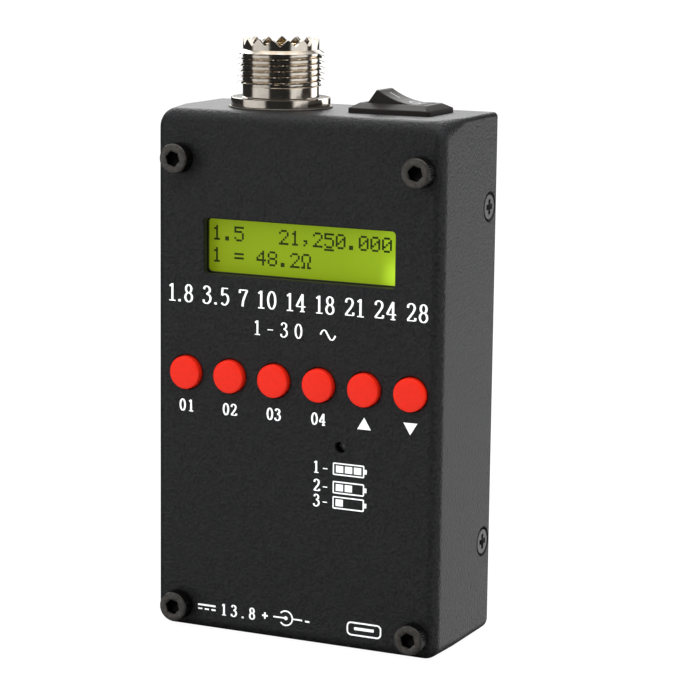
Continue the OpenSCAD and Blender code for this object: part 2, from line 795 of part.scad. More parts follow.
module lcd_header() {
    w = header_pins * header_pitch;
    color([0.1, 0.1, 0.1])
        translate([panel_x, (lcd_board_back + board_front) / 2, header_z])
            cube([w, board_front - lcd_board_back, header_w], center = true);
}

module button_cap(i) {
    r = cap_d / 2;
    color([0.85, 0.12, 0.08]) translate([key_x(i), key_front, key_z]) rotate([-90, 0, 0])
        difference() {
            union() {
                cylinder(h = cap_round, r1 = r - cap_round, r2 = r);
                translate([0, 0, cap_round]) cylinder(h = cap_l - cap_round, r = r);
                translate([0, 0, face_in + cap_rim_gap - key_front])
                    cylinder(h = cap_rim_t, r = cap_rim_d / 2);
            }
            translate([0, 0, cap_l - cap_socket])
                cylinder(h = cap_socket + 1, r = stem_d / 2 + stem_gap);
        }
}

module key_stem(i) {
    collar_y = key_top + key_switch_t + collar_gap;
    stem_end = board_front - key_switch_t - key_travel - 2 * collar_gap;
    color([0.08, 0.08, 0.08]) {
        rod_y(key_x(i), key_z, cap_back - cap_socket, stem_end, stem_d / 2);
        rod_y(key_x(i), key_z, collar_y, collar_y + collar_t, collar_d / 2);
    }
}

module key_switch(i) {
    w = key_switch_w / 2;
    well_r = collar_d / 2 + stem_guide_gap;
    color([0.12, 0.12, 0.12]) difference() {
        box_at([key_x(i) - w, key_top, key_z - w], [key_x(i) + w, board_front, key_z + w]);
        rod_y(key_x(i), key_z, key_top - 1, board_front - 1, stem_d / 2 + stem_guide_gap);
        rod_y(key_x(i), key_z, key_top + key_switch_t, board_front - key_switch_t, well_r);
    }
}

module status_led() {
    tip = face_in + lamp_gap;
    r = lamp_d / 2;
    color([0.9, 0.9, 0.85]) {
        translate([lamp_x, tip + r, lamp_z]) sphere(r);
        rod_y(lamp_x, lamp_z, tip + r, tip + lamp_l, r);
        rod_y(lamp_x, lamp_z, tip + lamp_l - lamp_rim_t, tip + lamp_l, lamp_rim_d / 2);
        for (s = [-1, 1])
            rod_y(
                lamp_x + s * header_pitch / 2, lamp_z, tip + lamp_l - lamp_rim_t / 2, board_front,
                lamp_leg_d / 2);
    }
}

// Half section of the socket's shell, radius and height
module connector_section() {
    root = neck_d / 2;
    major = thread_d / 2;
    ridge = [
        for (i = [0 : thread_ridges - 1], p = [[root, 0.1], [major, 0.42], [major, 0.58], [root, 0.9]])
            [p[0], thread_z + (i + p[1]) * thread_pitch]
    ];
    polygon(concat(
        [[insulator_d / 2 + insulator_gap, rear_z], [rear_d / 2, rear_z], [rear_d / 2, flange_z]],
        [[flange_d / 2, flange_z], [flange_d / 2, neck_z], [root, neck_z]],
        ridge,
        [[root, crown_z], [shell_bore_d / 2, crown_z], [shell_bore_d / 2, disc_z]],
        [[insulator_d / 2 + insulator_gap, disc_z]]));
}

module connector_body() {
    reach = thread_d;
    half = PI * neck_d / teeth / 2;
    color([0.8, 0.78, 0.75]) translate([socket_x, socket_y, 0]) difference() {
        rotate_extrude() connector_section();
        for (i = [0 : teeth - 1]) rotate([0, 0, (i + 0.5) * 360 / teeth + crown_turn])
            translate([0, 0, tooth_z]) rotate([90, 0, 90])
                linear_extrude(reach) polygon([[0, 0], [half, tooth_h + 0.01], [-half, tooth_h + 0.01]]);
    }
}

module ring(x, y, z, h, r_out, r_in) {
    translate([x, y, z]) difference() {
        cylinder(h = h, r = r_out);
        translate([0, 0, -1]) cylinder(h = h + 2, r = r_in);
    }
}

module connector_washer() {
    color([0.75, 0.74, 0.7])
        ring(socket_x, socket_y, case_h, washer_t, washer_d / 2, rear_d / 2 + barrel_gap);
}

module connector_insulator() {
    color([0.93, 0.92, 0.88]) translate([socket_x, socket_y, 0]) difference() {
        union() {
            translate([0, 0, rear_z]) cylinder(h = disc_z - rear_z, r = insulator_d / 2);
            translate([0, 0, disc_z]) cylinder(h = disc_t, r = shell_bore_d / 2 - insulator_gap);
        }
        translate([0, 0, rear_z - 1])
            cylinder(h = disc_z + disc_t - rear_z + 2, r = contact_d / 2 + insulator_gap);
    }
}

module centre_contact() {
    color([0.85, 0.75, 0.45]) translate([socket_x, socket_y, 0]) difference() {
        union() {
            translate([0, 0, tail_z]) cylinder(h = contact_z - tail_z, r = contact_d / 2);
            translate([0, 0, tail_z - tail_l]) cylinder(h = tail_l, r = tail_d / 2);
        }
        translate([0, 0, contact_z - contact_bore_l])
            cylinder(h = contact_bore_l + 1, r = contact_bore_d / 2);
        for (a = [20, 110]) rotate([0, 0, a])
            translate([0, 0, contact_z])
                cube([contact_d + 1, slit_w, 2 * slit_l], center = true);
    }
}

module connector_nut() {
    color([0.8, 0.78, 0.75]) translate([socket_x, socket_y, top_in - lug_t - nut_t]) difference() {
        cylinder(h = nut_t, r = nut_w / 2 / cos(30), $fn = 6);
        translate([0, 0, -1]) cylinder(h = nut_t + 2, r = rear_d / 2 + thread_gap);
    }
}

module ground_lug() {
    hole_r = rear_d / 2 + barrel_gap;
    r = hole_r + lug_band;
    color([0.85, 0.8, 0.6]) translate([socket_x, socket_y, top_in - lug_t]) difference() {
        union() {
            cylinder(h = lug_t, r = r);
            translate([-r - lug_tab, -lug_tab / 2, 0]) cube([r + lug_tab, lug_tab, lug_t]);
        }
        translate([0, 0, -1]) cylinder(h = lug_t + 2, r = hole_r);
        translate([-r - lug_tab / 2, 0, -1]) cylinder(h = lug_t + 2, r = solder_hole_d / 2);
    }
}

// The bezel's outline seen from one side, with its slope
module bezel_side(half, slope) {
    polygon([
        [-half, 0], [half, 0], [half, bezel_rim],
        [half - slope, bezel_h], [slope - half, bezel_h], [-half, bezel_rim]
    ]);
}

module power_switch_housing() {
    pin_r = pivot_d / 2 + pivot_gap;
    pin_end = rocker_w() / 2 + pivot_l + pivot_gap;
    color([0.1, 0.1, 0.1]) translate([switch_x, switch_y, case_h]) difference() {
        union() {
            intersection() {
                translate([0, bezel_w / 2, 0]) rotate([90, 0, 0])
                    linear_extrude(bezel_w) bezel_side(bezel_l / 2, bezel_slope_x);
                translate([-bezel_l / 2, 0, 0]) rotate([90, 0, 90])
                    linear_extrude(bezel_l) bezel_side(bezel_w / 2, bezel_slope_y);
            }
            box_at([-switch_l / 2, -switch_w / 2, -switch_depth], [switch_l / 2, switch_w / 2, 0]);
            for (s = [0, 180]) rotate([0, 0, s])
                translate([switch_l / 2, switch_w / 4, -wall - 0.1]) rotate([90, 0, 0])
                    linear_extrude(switch_w / 2) polygon([[0, 0], [snap, 0], [0, -snap_h]]);
        }
        box_at([-well_l / 2, -well_w / 2, -well_depth], [well_l / 2, well_w / 2, bezel_h + 1]);
        rod_y(0, 0, -pin_end, pin_end, pin_r);
        for (s = [-1, 1])
            translate([s * blade_pitch / 2, 0, -switch_depth])
                cube([blade_t + 2 * blade_gap, blade_w + 2 * blade_gap, 2 * blade_in], center = true);
    }
}

function rocker_w() = well_w - 2 * rocker_gap;

// The rocker level, as it stands half way through its throw
module rocker_section() {
    dish_z = rocker_h + sqrt(rocker_dish_r * rocker_dish_r - rocker_top * rocker_top);
    difference() {
        polygon([
            [-rocker_foot, -rocker_deep], [rocker_foot, -rocker_deep],
            [rocker_half, rocker_wide_z], [rocker_top, rocker_h],
            [-rocker_top, rocker_h], [-rocker_half, rocker_wide_z]
        ]);
        translate([0, dish_z]) circle(rocker_dish_r, $fn = 128);
    }
}

module power_rocker() {
    half = rocker_w() / 2 + pivot_l;
    color([0.1, 0.1, 0.1]) translate([switch_x, switch_y, case_h]) rotate([0, rocker_tilt, 0]) {
        translate([0, rocker_w() / 2, 0]) rotate([90, 0, 0])
            linear_extrude(rocker_w()) rocker_section();
        rod_y(0, 0, -half, half, pivot_d / 2);
    }
}

module switch_terminals() {
    color([0.85, 0.75, 0.45]) translate([switch_x, switch_y, case_h - switch_depth])
        for (s = [-1, 1]) translate([s * blade_pitch / 2, 0, 0]) difference() {
            box_at([-blade_t / 2, -blade_w / 2, -blade_l], [blade_t / 2, blade_w / 2, blade_in]);
            translate([0, 0, -blade_l + blade_w / 2]) rotate([0, 90, 0])
                cylinder(h = 2 * blade_t, r = solder_hole_d / 2, center = true);
        }
}

module dc_jack_housing() {
    w = inlet_w / 2;
    color([0.08, 0.08, 0.08]) difference() {
        box_at([inlet_x - w, board_back, inlet_z], [inlet_x + w, board_back + inlet_h, inlet_z + inlet_l]);
        translate([inlet_x, inlet_y, inlet_z - 1]) cylinder(h = inlet_bore_l + 1, r = inlet_bore_d / 2);
        translate([inlet_x, inlet_y, inlet_z]) cylinder(h = inlet_l + 1, r = inlet_root_d / 2 + blade_gap);
        translate([inlet_x, inlet_y - inlet_bore_d / 2, inlet_z + inlet_l / 2 + 1])
            cube([spring_w + 2 * blade_gap, 2 * (spring_t + blade_gap), inlet_l], center = true);
    }
}

module dc_jack_pin() {
    tab = inlet_pin_d / 2;
    color([0.8, 0.78, 0.75]) {
        translate([inlet_x, inlet_y, inlet_z + inlet_pin_in])
            cylinder(h = inlet_bore_l - inlet_pin_in, r = inlet_pin_d / 2);
        translate([inlet_x, inlet_y, inlet_z + inlet_bore_l])
            cylinder(h = inlet_l - inlet_bore_l + spring_t, r = inlet_root_d / 2);
        box_at(
            [inlet_x - tab, board_back, inlet_z + inlet_l],
            [inlet_x + tab, inlet_y + tab, inlet_z + inlet_l + spring_t]);
    }
}

module dc_jack_spring() {
    y = inlet_y - inlet_bore_d / 2;
    color([0.85, 0.8, 0.6])
        box_at(
            [inlet_x - spring_w / 2, y - spring_t, inlet_z + spring_in],
            [inlet_x + spring_w / 2, y, inlet_z + inlet_l - spring_t]);
}

module usb_shell() {
    w = data_w / 2;
    color([0.8, 0.8, 0.8]) difference() {
        box_at([data_x - w, board_back, data_in], [data_x + w, board_back + data_h, data_in + data_l]);
        box_at(
            [data_x - w + data_t, board_back + data_t, data_in - 1],
            [data_x + w - data_t, board_back + data_h - data_t, data_in + data_l - data_back]);
        box_at(
            [data_x - tongue_w / 2 - blade_gap, data_y - tongue_t / 2 - blade_gap, data_in + tongue_in],
            [data_x + tongue_w / 2 + blade_gap, data_y + tongue_t / 2 + blade_gap, tongue_foot()]);
    }
}

function tongue_foot() = data_in + data_l - tongue_back;

module usb_tongue() {
    color([0.1, 0.1, 0.1])
        box_at(
            [data_x - tongue_w / 2, data_y - tongue_t / 2, data_in + tongue_in],
            [data_x + tongue_w / 2, data_y + tongue_t / 2, tongue_foot() - blade_gap]);
}

module battery_cell(i) {
    y = cells_front + (i - 1) * cell_t;
    color([0.75, 0.76, 0.78]) translate([0, y + cell_t / 2, cell_z - cell_h / 2])
        linear_extrude(cell_h) round_rect(cell_w, cell_t, cell_r);
}

module battery_pad() {
    color([0.9, 0.9, 0.88])
        translate([0, (cells_back + cover_in) / 2, cell_z])
            cube([cell_w - 2 * pad_in, pad_t, cell_h - 2 * pad_in], center = true);
}

module battery_plug() {
    color([0.92, 0.9, 0.82]) box_at(
        [plug_x - plug_w / 2, board_back, plug_z],
        [plug_x + plug_w / 2, board_back + plug_h, plug_z + plug_l]);
}

// A chip's body with a row of legs on two sides, flat on the front of the board
module chip(x, z, w, h, t, count) {
    color([0.08, 0.08, 0.08]) translate([x, board_front - leg_t - t / 2, z])
        cube([w, t, h], center = true);
    color([0.8, 0.8, 0.8]) for (s = [-1, 1], i = [0 : count - 1])
        translate([
            x + (i - (count - 1) / 2) * leg_pitch, board_front - leg_t / 2,
            z + s * (h + leg_l - leg_lap) / 2
        ]) cube([leg_w, leg_t, leg_l + leg_lap], center = true);
}

module controller_chip() {
    chip(chip_x, chip_z, chip_w, chip_w, chip_h, 7);
}

module signal_chip() {
    chip(signal_x, signal_z, signal_l, signal_w, signal_h, 8);
}

module regulator() {
    x = board_w / 2 - regulator_side;
    half = regulator_w / 2;
    top = regulator_z + regulator_l;
    color([0.1, 0.1, 0.1]) {
        box_at([x - half, board_front - regulator_h, regulator_z], [x + half, board_front, top]);
        box_at(
            [x - half + tab_in, board_front - tab_t, top],
            [x + half - tab_in, board_front, top + tab_l]);
    }
}

module crystal() {
    r = crystal_w / 2;
    color([0.8, 0.8, 0.82]) translate([crystal_x, board_front, crystal_z]) rotate([90, 0, 0])
        linear_extrude(crystal_h) {
            square([crystal_l - crystal_w, crystal_w], center = true);
            for (s = [-1, 1]) translate([s * (crystal_l / 2 - r), 0]) circle(r);
        }
}

module capacitors() {
    x = capacitor_side - board_w / 2;
    color([0.7, 0.7, 0.72]) for (i = [0, 1])
        rod_y(
            x + i * (capacitor_d + capacitor_gap), capacitor_z, board_front - capacitor_h,
            board_front, capacitor_d / 2);
}

module contrast_trimmer() {
    w = trimmer_w / 2;
    y = board_front - trimmer_h;
    color([0.1, 0.2, 0.6]) difference() {
        box_at([trimmer_x - w, y, trimmer_z - w], [trimmer_x + w, board_front, trimmer_z + w]);
        rod_y(trimmer_x, trimmer_z, y - 1, y + rotor_in + rotor_gap, rotor_d / 2 + rotor_gap);
    }
}

module trimmer_rotor() {
    y = board_front - trimmer_h;
    color([0.9, 0.9, 0.85]) difference() {
        rod_y(trimmer_x, trimmer_z, y, y + rotor_in, rotor_d / 2);
        translate([trimmer_x, y, trimmer_z])
            cube([rotor_d + 1, 2 * rotor_slot_in, rotor_slot_w], center = true);
    }
}

// A round wire along one cubic curve; side is any direction that the curve never runs along
function unit(v) = v / norm(v);
function curve(p, t) =
    pow(1 - t, 3) * p[0] + 3 * t * pow(1 - t, 2) * p[1] + 3 * t * t * (1 - t) * p[2] + pow(t, 3) * p[3];
function slope(p, t) = unit(
    pow(1 - t, 2) * (p[1] - p[0]) + 2 * t * (1 - t) * (p[2] - p[1]) + t * t * (p[3] - p[2]));
function wire_ring(p, t, side, sides) = let (
    ahead = slope(p, t),
    u = unit(cross(ahead, side)),
    v = cross(ahead, u)
) [for (k = [0 : sides - 1]) curve(p, t) + wire_d / 2 * (cos(k * 360 / sides) * u + sin(k * 360 / sides) * v)];

module wire(p, side) {
    sides = 8;
    rings = 16;
    points = [for (i = [0 : rings - 1]) each wire_ring(p, i / (rings - 1), side, sides)];
    last = (rings - 1) * sides;
    polyhedron(points, concat(
        [[for (k = [0 : sides - 1]) k]],
        [for (i = [0 : rings - 2], k = [0 : sides - 1]) let (a = i * sides + k, b = i * sides + (k + 1) % sides)
            [a, a + sides, b + sides, b]],
        [[for (k = [0 : sides - 1]) last + sides - 1 - k]]));
}

module antenna_wire() {
    start = [socket_x, socket_y, tail_z - tail_l];
    end = [socket_x, board_back, board_mid_z - wire_d / 2];
    color([0.9, 0.9, 0.9])
        wire([start, start - [0, 0, wire_lead], end + [0, wire_lead, 0], end], [1, 0, 0]);
}

module switch_wires() {
    z = case_h - switch_depth - blade_l;
    color([0.8, 0.1, 0.1]) for (s = [-1, 1]) {
        start = [switch_x + s * blade_pitch / 2, switch_y, z];
        end = [start[0], board_back, board_notch_z - 2 * wire_d];
        wire([start, start - [0, 0, wire_lead], end + [0, wire_lead, 0], end], [1, 0, 0]);
    }
}

module battery_wires() {
    color([0.1, 0.1, 0.1]) for (s = [-0.5, 0.5]) {
        start = [battery_wire_in - cell_w / 2 + s * wire_pitch, cells_front + cell_t / 2, cells_top];
        end = [plug_x - plug_w / 2, board_back + plug_h / 2, plug_z + plug_l / 2 - s * wire_pitch];
        wire([start, start + [0, 0, wire_lead], end - [wire_lead, 0, 0], end], [0, 1, 0]);
    }
}

front_shell();
back_cover();
panel_screws();
cover_screws();
board_standoffs();
board_screws();
main_board();
lcd_board();
lcd_frame();
lcd_glass();
lcd_backlight();
lcd_header();
for (i = [1 : key_count]) {
    button_cap(i);
    key_stem(i);
    key_switch(i);
}
status_led();
connector_body();
connector_washer();
connector_insulator();
centre_contact();
connector_nut();
ground_lug();
power_switch_housing();
power_rocker();
switch_terminals();
dc_jack_housing();
dc_jack_pin();
dc_jack_spring();
usb_shell();
usb_tongue();
for (i = [1 : cell_count])
    battery_cell(i);
battery_pad();
battery_plug();
controller_chip();
signal_chip();
regulator();
crystal();
capacitors();
contrast_trimmer();
trimmer_rotor();
antenna_wire();
switch_wires();
battery_wires();
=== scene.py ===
from math import cos, pi, radians, sin, sqrt

import bmesh
import bpy
from mathutils import Matrix, Vector


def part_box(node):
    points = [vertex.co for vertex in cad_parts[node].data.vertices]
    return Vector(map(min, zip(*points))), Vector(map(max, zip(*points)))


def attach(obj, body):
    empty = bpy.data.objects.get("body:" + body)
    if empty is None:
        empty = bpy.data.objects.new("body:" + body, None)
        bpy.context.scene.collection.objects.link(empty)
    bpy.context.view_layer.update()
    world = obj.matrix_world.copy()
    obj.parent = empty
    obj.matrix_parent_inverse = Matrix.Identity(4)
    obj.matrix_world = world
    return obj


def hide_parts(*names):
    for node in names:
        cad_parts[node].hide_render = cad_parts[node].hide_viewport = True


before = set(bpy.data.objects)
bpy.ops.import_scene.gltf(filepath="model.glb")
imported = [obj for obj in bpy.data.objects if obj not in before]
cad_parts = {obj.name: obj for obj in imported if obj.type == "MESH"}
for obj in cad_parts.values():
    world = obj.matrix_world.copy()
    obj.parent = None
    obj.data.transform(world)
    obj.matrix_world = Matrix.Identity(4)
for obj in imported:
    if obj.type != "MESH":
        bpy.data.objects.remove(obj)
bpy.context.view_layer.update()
MM = 0.001


# Front shell: the face and four walls of the case, one piece of folded 1.2 mm steel. Its corners are
# ground round and its holes are punched, then it gets a fine-texture powder coat that rounds the edges.
case_lo, case_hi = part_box("front_shell")
FRONT_Y, BACK_Y = case_lo.y, case_hi.y
WALL = 1.2 * MM
FRONT_TOP_R, BACK_TOP_R = 3.7 * MM, 0.9 * MM
FRONT_LOW_R, BACK_LOW_R = 2.9 * MM, 2.3 * MM
FACE_R = 2.2 * MM
EDGE = 0.18 * MM
INNER_R = 0.8 * MM
BLEND_FROM, BLEND_L = 1 * MM, 9 * MM
LEAST_R = 0.6 * MM


def set_stops(ramp_node, stops):
    """Sets a colour ramp's stops, given as pairs of place and colour."""
    ramp = ramp_node.color_ramp.elements
    for element, (at, colour) in zip(ramp, (stops[0], stops[-1])):
        element.position, element.color = at, (*colour, 1)
    for at, colour in stops[1:-1]:
        ramp.new(at).color = (*colour, 1)


def new_material(name):
    material = bpy.data.materials.new(name)
    material.use_nodes = True
    return material, material.node_tree.nodes, material.node_tree.links


def mapped(nodes, links, value, low, high, new_low=0, new_high=1):
    """A node that turns the range low to high of a value into new_low to new_high."""
    node = nodes.new("ShaderNodeMapRange")
    for limit, level in (("From Min", low), ("From Max", high), ("To Min", new_low), ("To Max", new_high)):
        node.inputs[limit].default_value = level
    links.new(value, node.inputs["Value"])
    return node


def finish_colour(name, colour, rough, metal=0.0, spread=0.12, grain=(900, 0.02), coat=0.0, shine=0.5):
    """A plain finish whose colour, gloss and surface all vary a little at the grain's scale."""
    material, nodes, links = new_material(name)
    shader = nodes["Principled BSDF"]
    place = nodes.new("ShaderNodeTexCoord")
    cloud = nodes.new("ShaderNodeTexNoise")
    cloud.inputs["Scale"].default_value = grain[0]
    cloud.inputs["Detail"].default_value = 4
    links.new(place.outputs["Object"], cloud.inputs["Vector"])
    tint = nodes.new("ShaderNodeValToRGB")
    shades = [tuple(min(1, c * share) for c in colour) for share in (1 - spread, 1 + spread)]
    set_stops(tint, ((0.3, shades[0]), (0.7, shades[1])))
    links.new(cloud.outputs["Fac"], tint.inputs["Fac"])
    links.new(tint.outputs["Color"], shader.inputs["Base Color"])
    gloss = mapped(nodes, links, cloud.outputs["Fac"], 0, 1, rough * 0.88, rough * 1.12)
    links.new(gloss.outputs["Result"], shader.inputs["Roughness"])
    bump = nodes.new("ShaderNodeBump")
    bump.inputs["Distance"].default_value = grain[1] * MM
    links.new(cloud.outputs["Fac"], bump.inputs["Height"])
    links.new(bump.outputs["Normal"], shader.inputs["Normal"])
    shader.inputs["Metallic"].default_value = metal
    shader.inputs["Coat Weight"].default_value = coat
    shader.inputs["Specular IOR Level"].default_value = shine
    return material


def powder_coat():
    """Fine-texture black powder coat: small hard bumps, finer pits and a soft, slightly uneven sheen."""
    charcoal = (0.0095, 0.0097, 0.0105)
    material = finish_colour("powder_coat", charcoal, 0.48, spread=0.4, grain=(1900, 0.2), shine=0.36)
    nodes, links = material.node_tree.nodes, material.node_tree.links
    shader, bump = nodes["Principled BSDF"], nodes["Bump"]
    bump.inputs["Strength"].default_value = 0.9
    nodes["Noise Texture"].inputs["Detail"].default_value = 2.5
    pits = nodes.new("ShaderNodeTexVoronoi")
    pits.inputs["Scale"].default_value = 1500
    links.new(nodes["Texture Coordinate"].outputs["Object"], pits.inputs["Vector"])
    orange = nodes.new("ShaderNodeBump")
    orange.inputs["Distance"].default_value = 0.035 * MM
    orange.inputs["Strength"].default_value = 0.6
    links.new(pits.outputs["Distance"], orange.inputs["Height"])
    links.new(bump.outputs["Normal"], orange.inputs["Normal"])
    links.new(orange.outputs["Normal"], shader.inputs["Normal"])
    return material


def new_mesh(name, points, faces):
    mesh = bpy.data.meshes.new(name)
    mesh.from_pydata([tuple(p) for p in points], [], faces)
    return mesh


def face_outward(mesh, weld=False):
    """Turns a mesh's faces outward, after its doubled points are joined where weld asks for it."""
    shape = bmesh.new()
    shape.from_mesh(mesh)
    if weld:
        bmesh.ops.remove_doubles(shape, verts=shape.verts, dist=1e-7)
        bmesh.ops.dissolve_degenerate(shape, edges=shape.edges, dist=1e-7)
    bmesh.ops.recalc_face_normals(shape, faces=shape.faces)
    shape.to_mesh(mesh)
    shape.free()
    return mesh


def linked(name, data):
    """A new object in the scene."""
    made = bpy.data.objects.new(name, data)
    bpy.context.scene.collection.objects.link(made)
    return made


def piece(name, points, faces, material, body="case", stands_for=(), sharp=32):
    """Makes one mesh piece, smooth up to the sharp angle, and rides it on its body."""
    finished(linked(name, new_mesh(name, points, faces)), material, body, stands_for, sharp)


def finished(made, material, body="case", stands_for=(), sharp=32):
    """Cleans a new object's mesh, sets its shading and material, and rides it on its body."""
    face_outward(made.data, weld=True)
    made.data.polygons.foreach_set("use_smooth", [True] * len(made.data.polygons))
    made.data.set_sharp_from_angle(angle=radians(sharp))
    made.data.materials.clear()
    made.data.materials.append(material)
    made.modifiers.new("even_shading", "WEIGHTED_NORMAL").keep_sharp = True
    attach(made, body)
    if stands_for:
        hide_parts(*stands_for)


def skin(rings, close_first=True, close_last=True):
    """Points and faces of the surface through rings of equally many points, closed at its ends."""
    n = len(rings[0])
    points = [p for ring in rings for p in ring]
    faces = [
        (i * n + k, i * n + (k + 1) % n, (i + 1) * n + (k + 1) % n, (i + 1) * n + k)
        for i in range(len(rings) - 1) for k in range(n)
    ]
    if close_first:
        faces.append(tuple(range(n))[::-1])
    if close_last:
        faces.append(tuple((len(rings) - 1) * n + k for k in range(n)))
    return points, faces


def round_outline(width, height, radius, steps=8, low_radius=None):
    """Corner arcs of a rectangle about the origin, as (across, up) pairs."""
    outline = []
    for corner, (sx, sy) in enumerate(((1, 1), (-1, 1), (-1, -1), (1, -1))):
        r = radius if low_radius is None or sy > 0 else low_radius
        for k in range(steps + 1):
            turn = (corner + k / steps) * pi / 2
            outline.append((sx * (width / 2 - r) + r * cos(turn), sy * (height / 2 - r) + r * sin(turn)))
    return outline


def join_parts(*parts):
    """Joins several point and face lists into one."""
    points, faces = [], []
    for new_points, new_faces in parts:
        faces += [tuple(len(points) + k for k in face) for face in new_faces]
        points += list(new_points)
    return points, faces


def case_ring(inset, y):
    """The case's outline at one depth, moved in from its walls. Its corners are rounder at the face."""
    centre = (case_lo + case_hi) / 2
    width, height = case_hi.x - case_lo.x - 2 * inset, case_hi.z - case_lo.z - 2 * inset
    share = min(1, max(0, (y - FRONT_Y - BLEND_FROM) / BLEND_L))
    radii = [
        max(front_r + (back_r - front_r) * share - inset, LEAST_R)
        for front_r, back_r in ((FRONT_TOP_R, BACK_TOP_R), (FRONT_LOW_R, BACK_LOW_R))
    ]
    outline = round_outline(width, height, radii[0], 10, radii[1])
    return [Vector((centre.x + a, y, centre.z + b)) for a, b in outline]


FLARE, PUNCH_DEPTH = 0.6 * MM, 3 * MM


def punch(outline_at, place, chamfer=EDGE):
    """A punch for one hole: outline_at(grow) gives its outline and place(a, b, out) puts it in the case."""
    steps = (
        (chamfer + FLARE, FLARE), (chamfer, 0), (chamfer * 0.3, -chamfer * 0.3), (0, -chamfer),
        (0, -PUNCH_DEPTH)
    )
    return skin([[place(a, b, out) for a, b in outline_at(grow)] for grow, out in steps])


def circle_outline(radius, count=48):
    return lambda grow: [
        ((radius + grow) * cos(2 * pi * k / count), (radius + grow) * sin(2 * pi * k / count))
        for k in range(count)
    ]


def slot_outline(width, height, radius):
    return lambda grow: round_outline(width + 2 * grow, height + 2 * grow, radius + grow)


def cut(made, *cutters):
    """Cuts closed shapes out of an object's mesh."""
    cutter = linked("cutter", face_outward(new_mesh("cutter", *join_parts(*cutters))))
    tool = made.modifiers.new("cut", "BOOLEAN")
    tool.operation, tool.solver, tool.object = "DIFFERENCE", "EXACT", cutter
    bpy.context.view_layer.update()
    result = bpy.data.meshes.new_from_object(made.evaluated_get(bpy.context.evaluated_depsgraph_get()))
    made.modifiers.clear()
    made.data = result
    bpy.data.objects.remove(cutter)


def on_face(x, z):
    return lambda a, b, out: Vector((x + a, FRONT_Y - out, z + b))


def on_top(x, y, z, way=1):
    return lambda a, b, out: Vector((x + a, y + b, z + way * out))


def middle(node):
    lo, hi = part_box(node)
    return (lo + hi) / 2


DEPTHS = (4 * MM, 6 * MM, 8 * MM, 10 * MM)
turns = [k / 8 * pi / 2 for k in range(9)]
section = [(FACE_R * (1 - sin(turn)), FRONT_Y + FACE_R * (1 - cos(turn))) for turn in turns]
section += [(0, FRONT_Y + depth) for depth in DEPTHS]
section += [(0, BACK_Y - EDGE), (EDGE * 0.3, BACK_Y - EDGE * 0.3), (EDGE, BACK_Y)]
section += [(WALL - EDGE, BACK_Y), (WALL, BACK_Y - EDGE)]
section += [(WALL, FRONT_Y + depth) for depth in DEPTHS[::-1]]
section += [(WALL, FRONT_Y + WALL + INNER_R), (WALL + 0.25 * MM, FRONT_Y + WALL + 0.25 * MM)]
section += [(WALL + INNER_R, FRONT_Y + WALL)]
points, faces = skin([case_ring(inset, y) for inset, y in section])
shell = linked("front_shell_steel", new_mesh("front_shell_steel", points, faces))

glass_lo, glass_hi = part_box("lcd_glass")
glass_mid = middle("lcd_glass")
GLASS_SPARE_X, GLASS_SPARE_Z = 5 * MM, 4.9 * MM
WINDOW_W, WINDOW_H = glass_hi.x - glass_lo.x - GLASS_SPARE_X, glass_hi.z - glass_lo.z - GLASS_SPARE_Z
WINDOW_R, WINDOW_EDGE = 0.7 * MM, 0.3 * MM
lamp_mid = middle("status_led")
LAMP_HOLE_R, LAMP_EDGE = 1.05 * MM, 0.1 * MM
caps = [middle(f"button_cap_{i}") for i in range(1, 7)]
CAP_R, CAP_GAP = 3.05 * MM, 0.2 * MM
washer_lo, washer_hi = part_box("connector_washer")
socket = middle("connector_washer")
BARREL_R, BARREL_GAP = 7 * MM, 0.1 * MM
switch_lo, switch_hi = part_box("power_switch_housing")
switch = middle("power_switch_housing")
SWITCH_HOLE = (13.3 * MM, 9.1 * MM, 0.3 * MM)
INLET_HOLE_R, INLET_IN = 3.7 * MM, 4.5 * MM
inlet_x, inlet_y = middle("dc_jack_pin").x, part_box("dc_jack_housing")[1].y - INLET_IN
data_mid = middle("usb_shell")
DATA_HOLE = (8.5 * MM, 4.75 * MM, 0.4 * MM)
M3_HOLE_R = 1.65 * MM
SCREWS_MID_X, SCREWS_HALF_X = 0.45 * MM, 23.9 * MM
SCREW_UP, SCREW_DOWN = 4.3 * MM, 8.9 * MM
screw_places = [
    (SCREWS_MID_X + side * SCREWS_HALF_X, z)
    for side in (-1, 1) for z in (case_lo.z + SCREW_UP, case_hi.z - SCREW_DOWN)
]

window = slot_outline(WINDOW_W, WINDOW_H, WINDOW_R)
holes = [punch(window, on_face(glass_mid.x, glass_mid.z), WINDOW_EDGE)]
holes += [punch(circle_outline(CAP_R + CAP_GAP, 64), on_face(cap.x, cap.z)) for cap in caps]
holes.append(punch(circle_outline(LAMP_HOLE_R, 40), on_face(lamp_mid.x, lamp_mid.z), LAMP_EDGE))
holes += [punch(circle_outline(M3_HOLE_R, 32), on_face(x, z)) for x, z in screw_places]
holes.append(punch(circle_outline(BARREL_R + BARREL_GAP), on_top(socket.x, socket.y, case_hi.z)))
holes.append(punch(slot_outline(*SWITCH_HOLE), on_top(switch.x, switch.y, case_hi.z)))
holes.append(punch(circle_outline(INLET_HOLE_R), on_top(inlet_x, inlet_y, case_lo.z, -1)))
holes.append(punch(slot_outline(*DATA_HOLE), on_top(data_mid.x, data_mid.y, case_lo.z, -1)))

COVER_SCREW_IN = 3.2 * MM
COVER_SCREW_UP, COVER_SCREW_DOWN = 17.6 * MM, 16.9 * MM
COVER_HEAD_R, SINK_GAP = 2.7 * MM, 0.12 * MM
SINK_R = COVER_HEAD_R + SINK_GAP
cover_places = [
    (side, z) for side in (-1, 1) for z in (case_lo.z + COVER_SCREW_UP, case_hi.z - COVER_SCREW_DOWN)
]


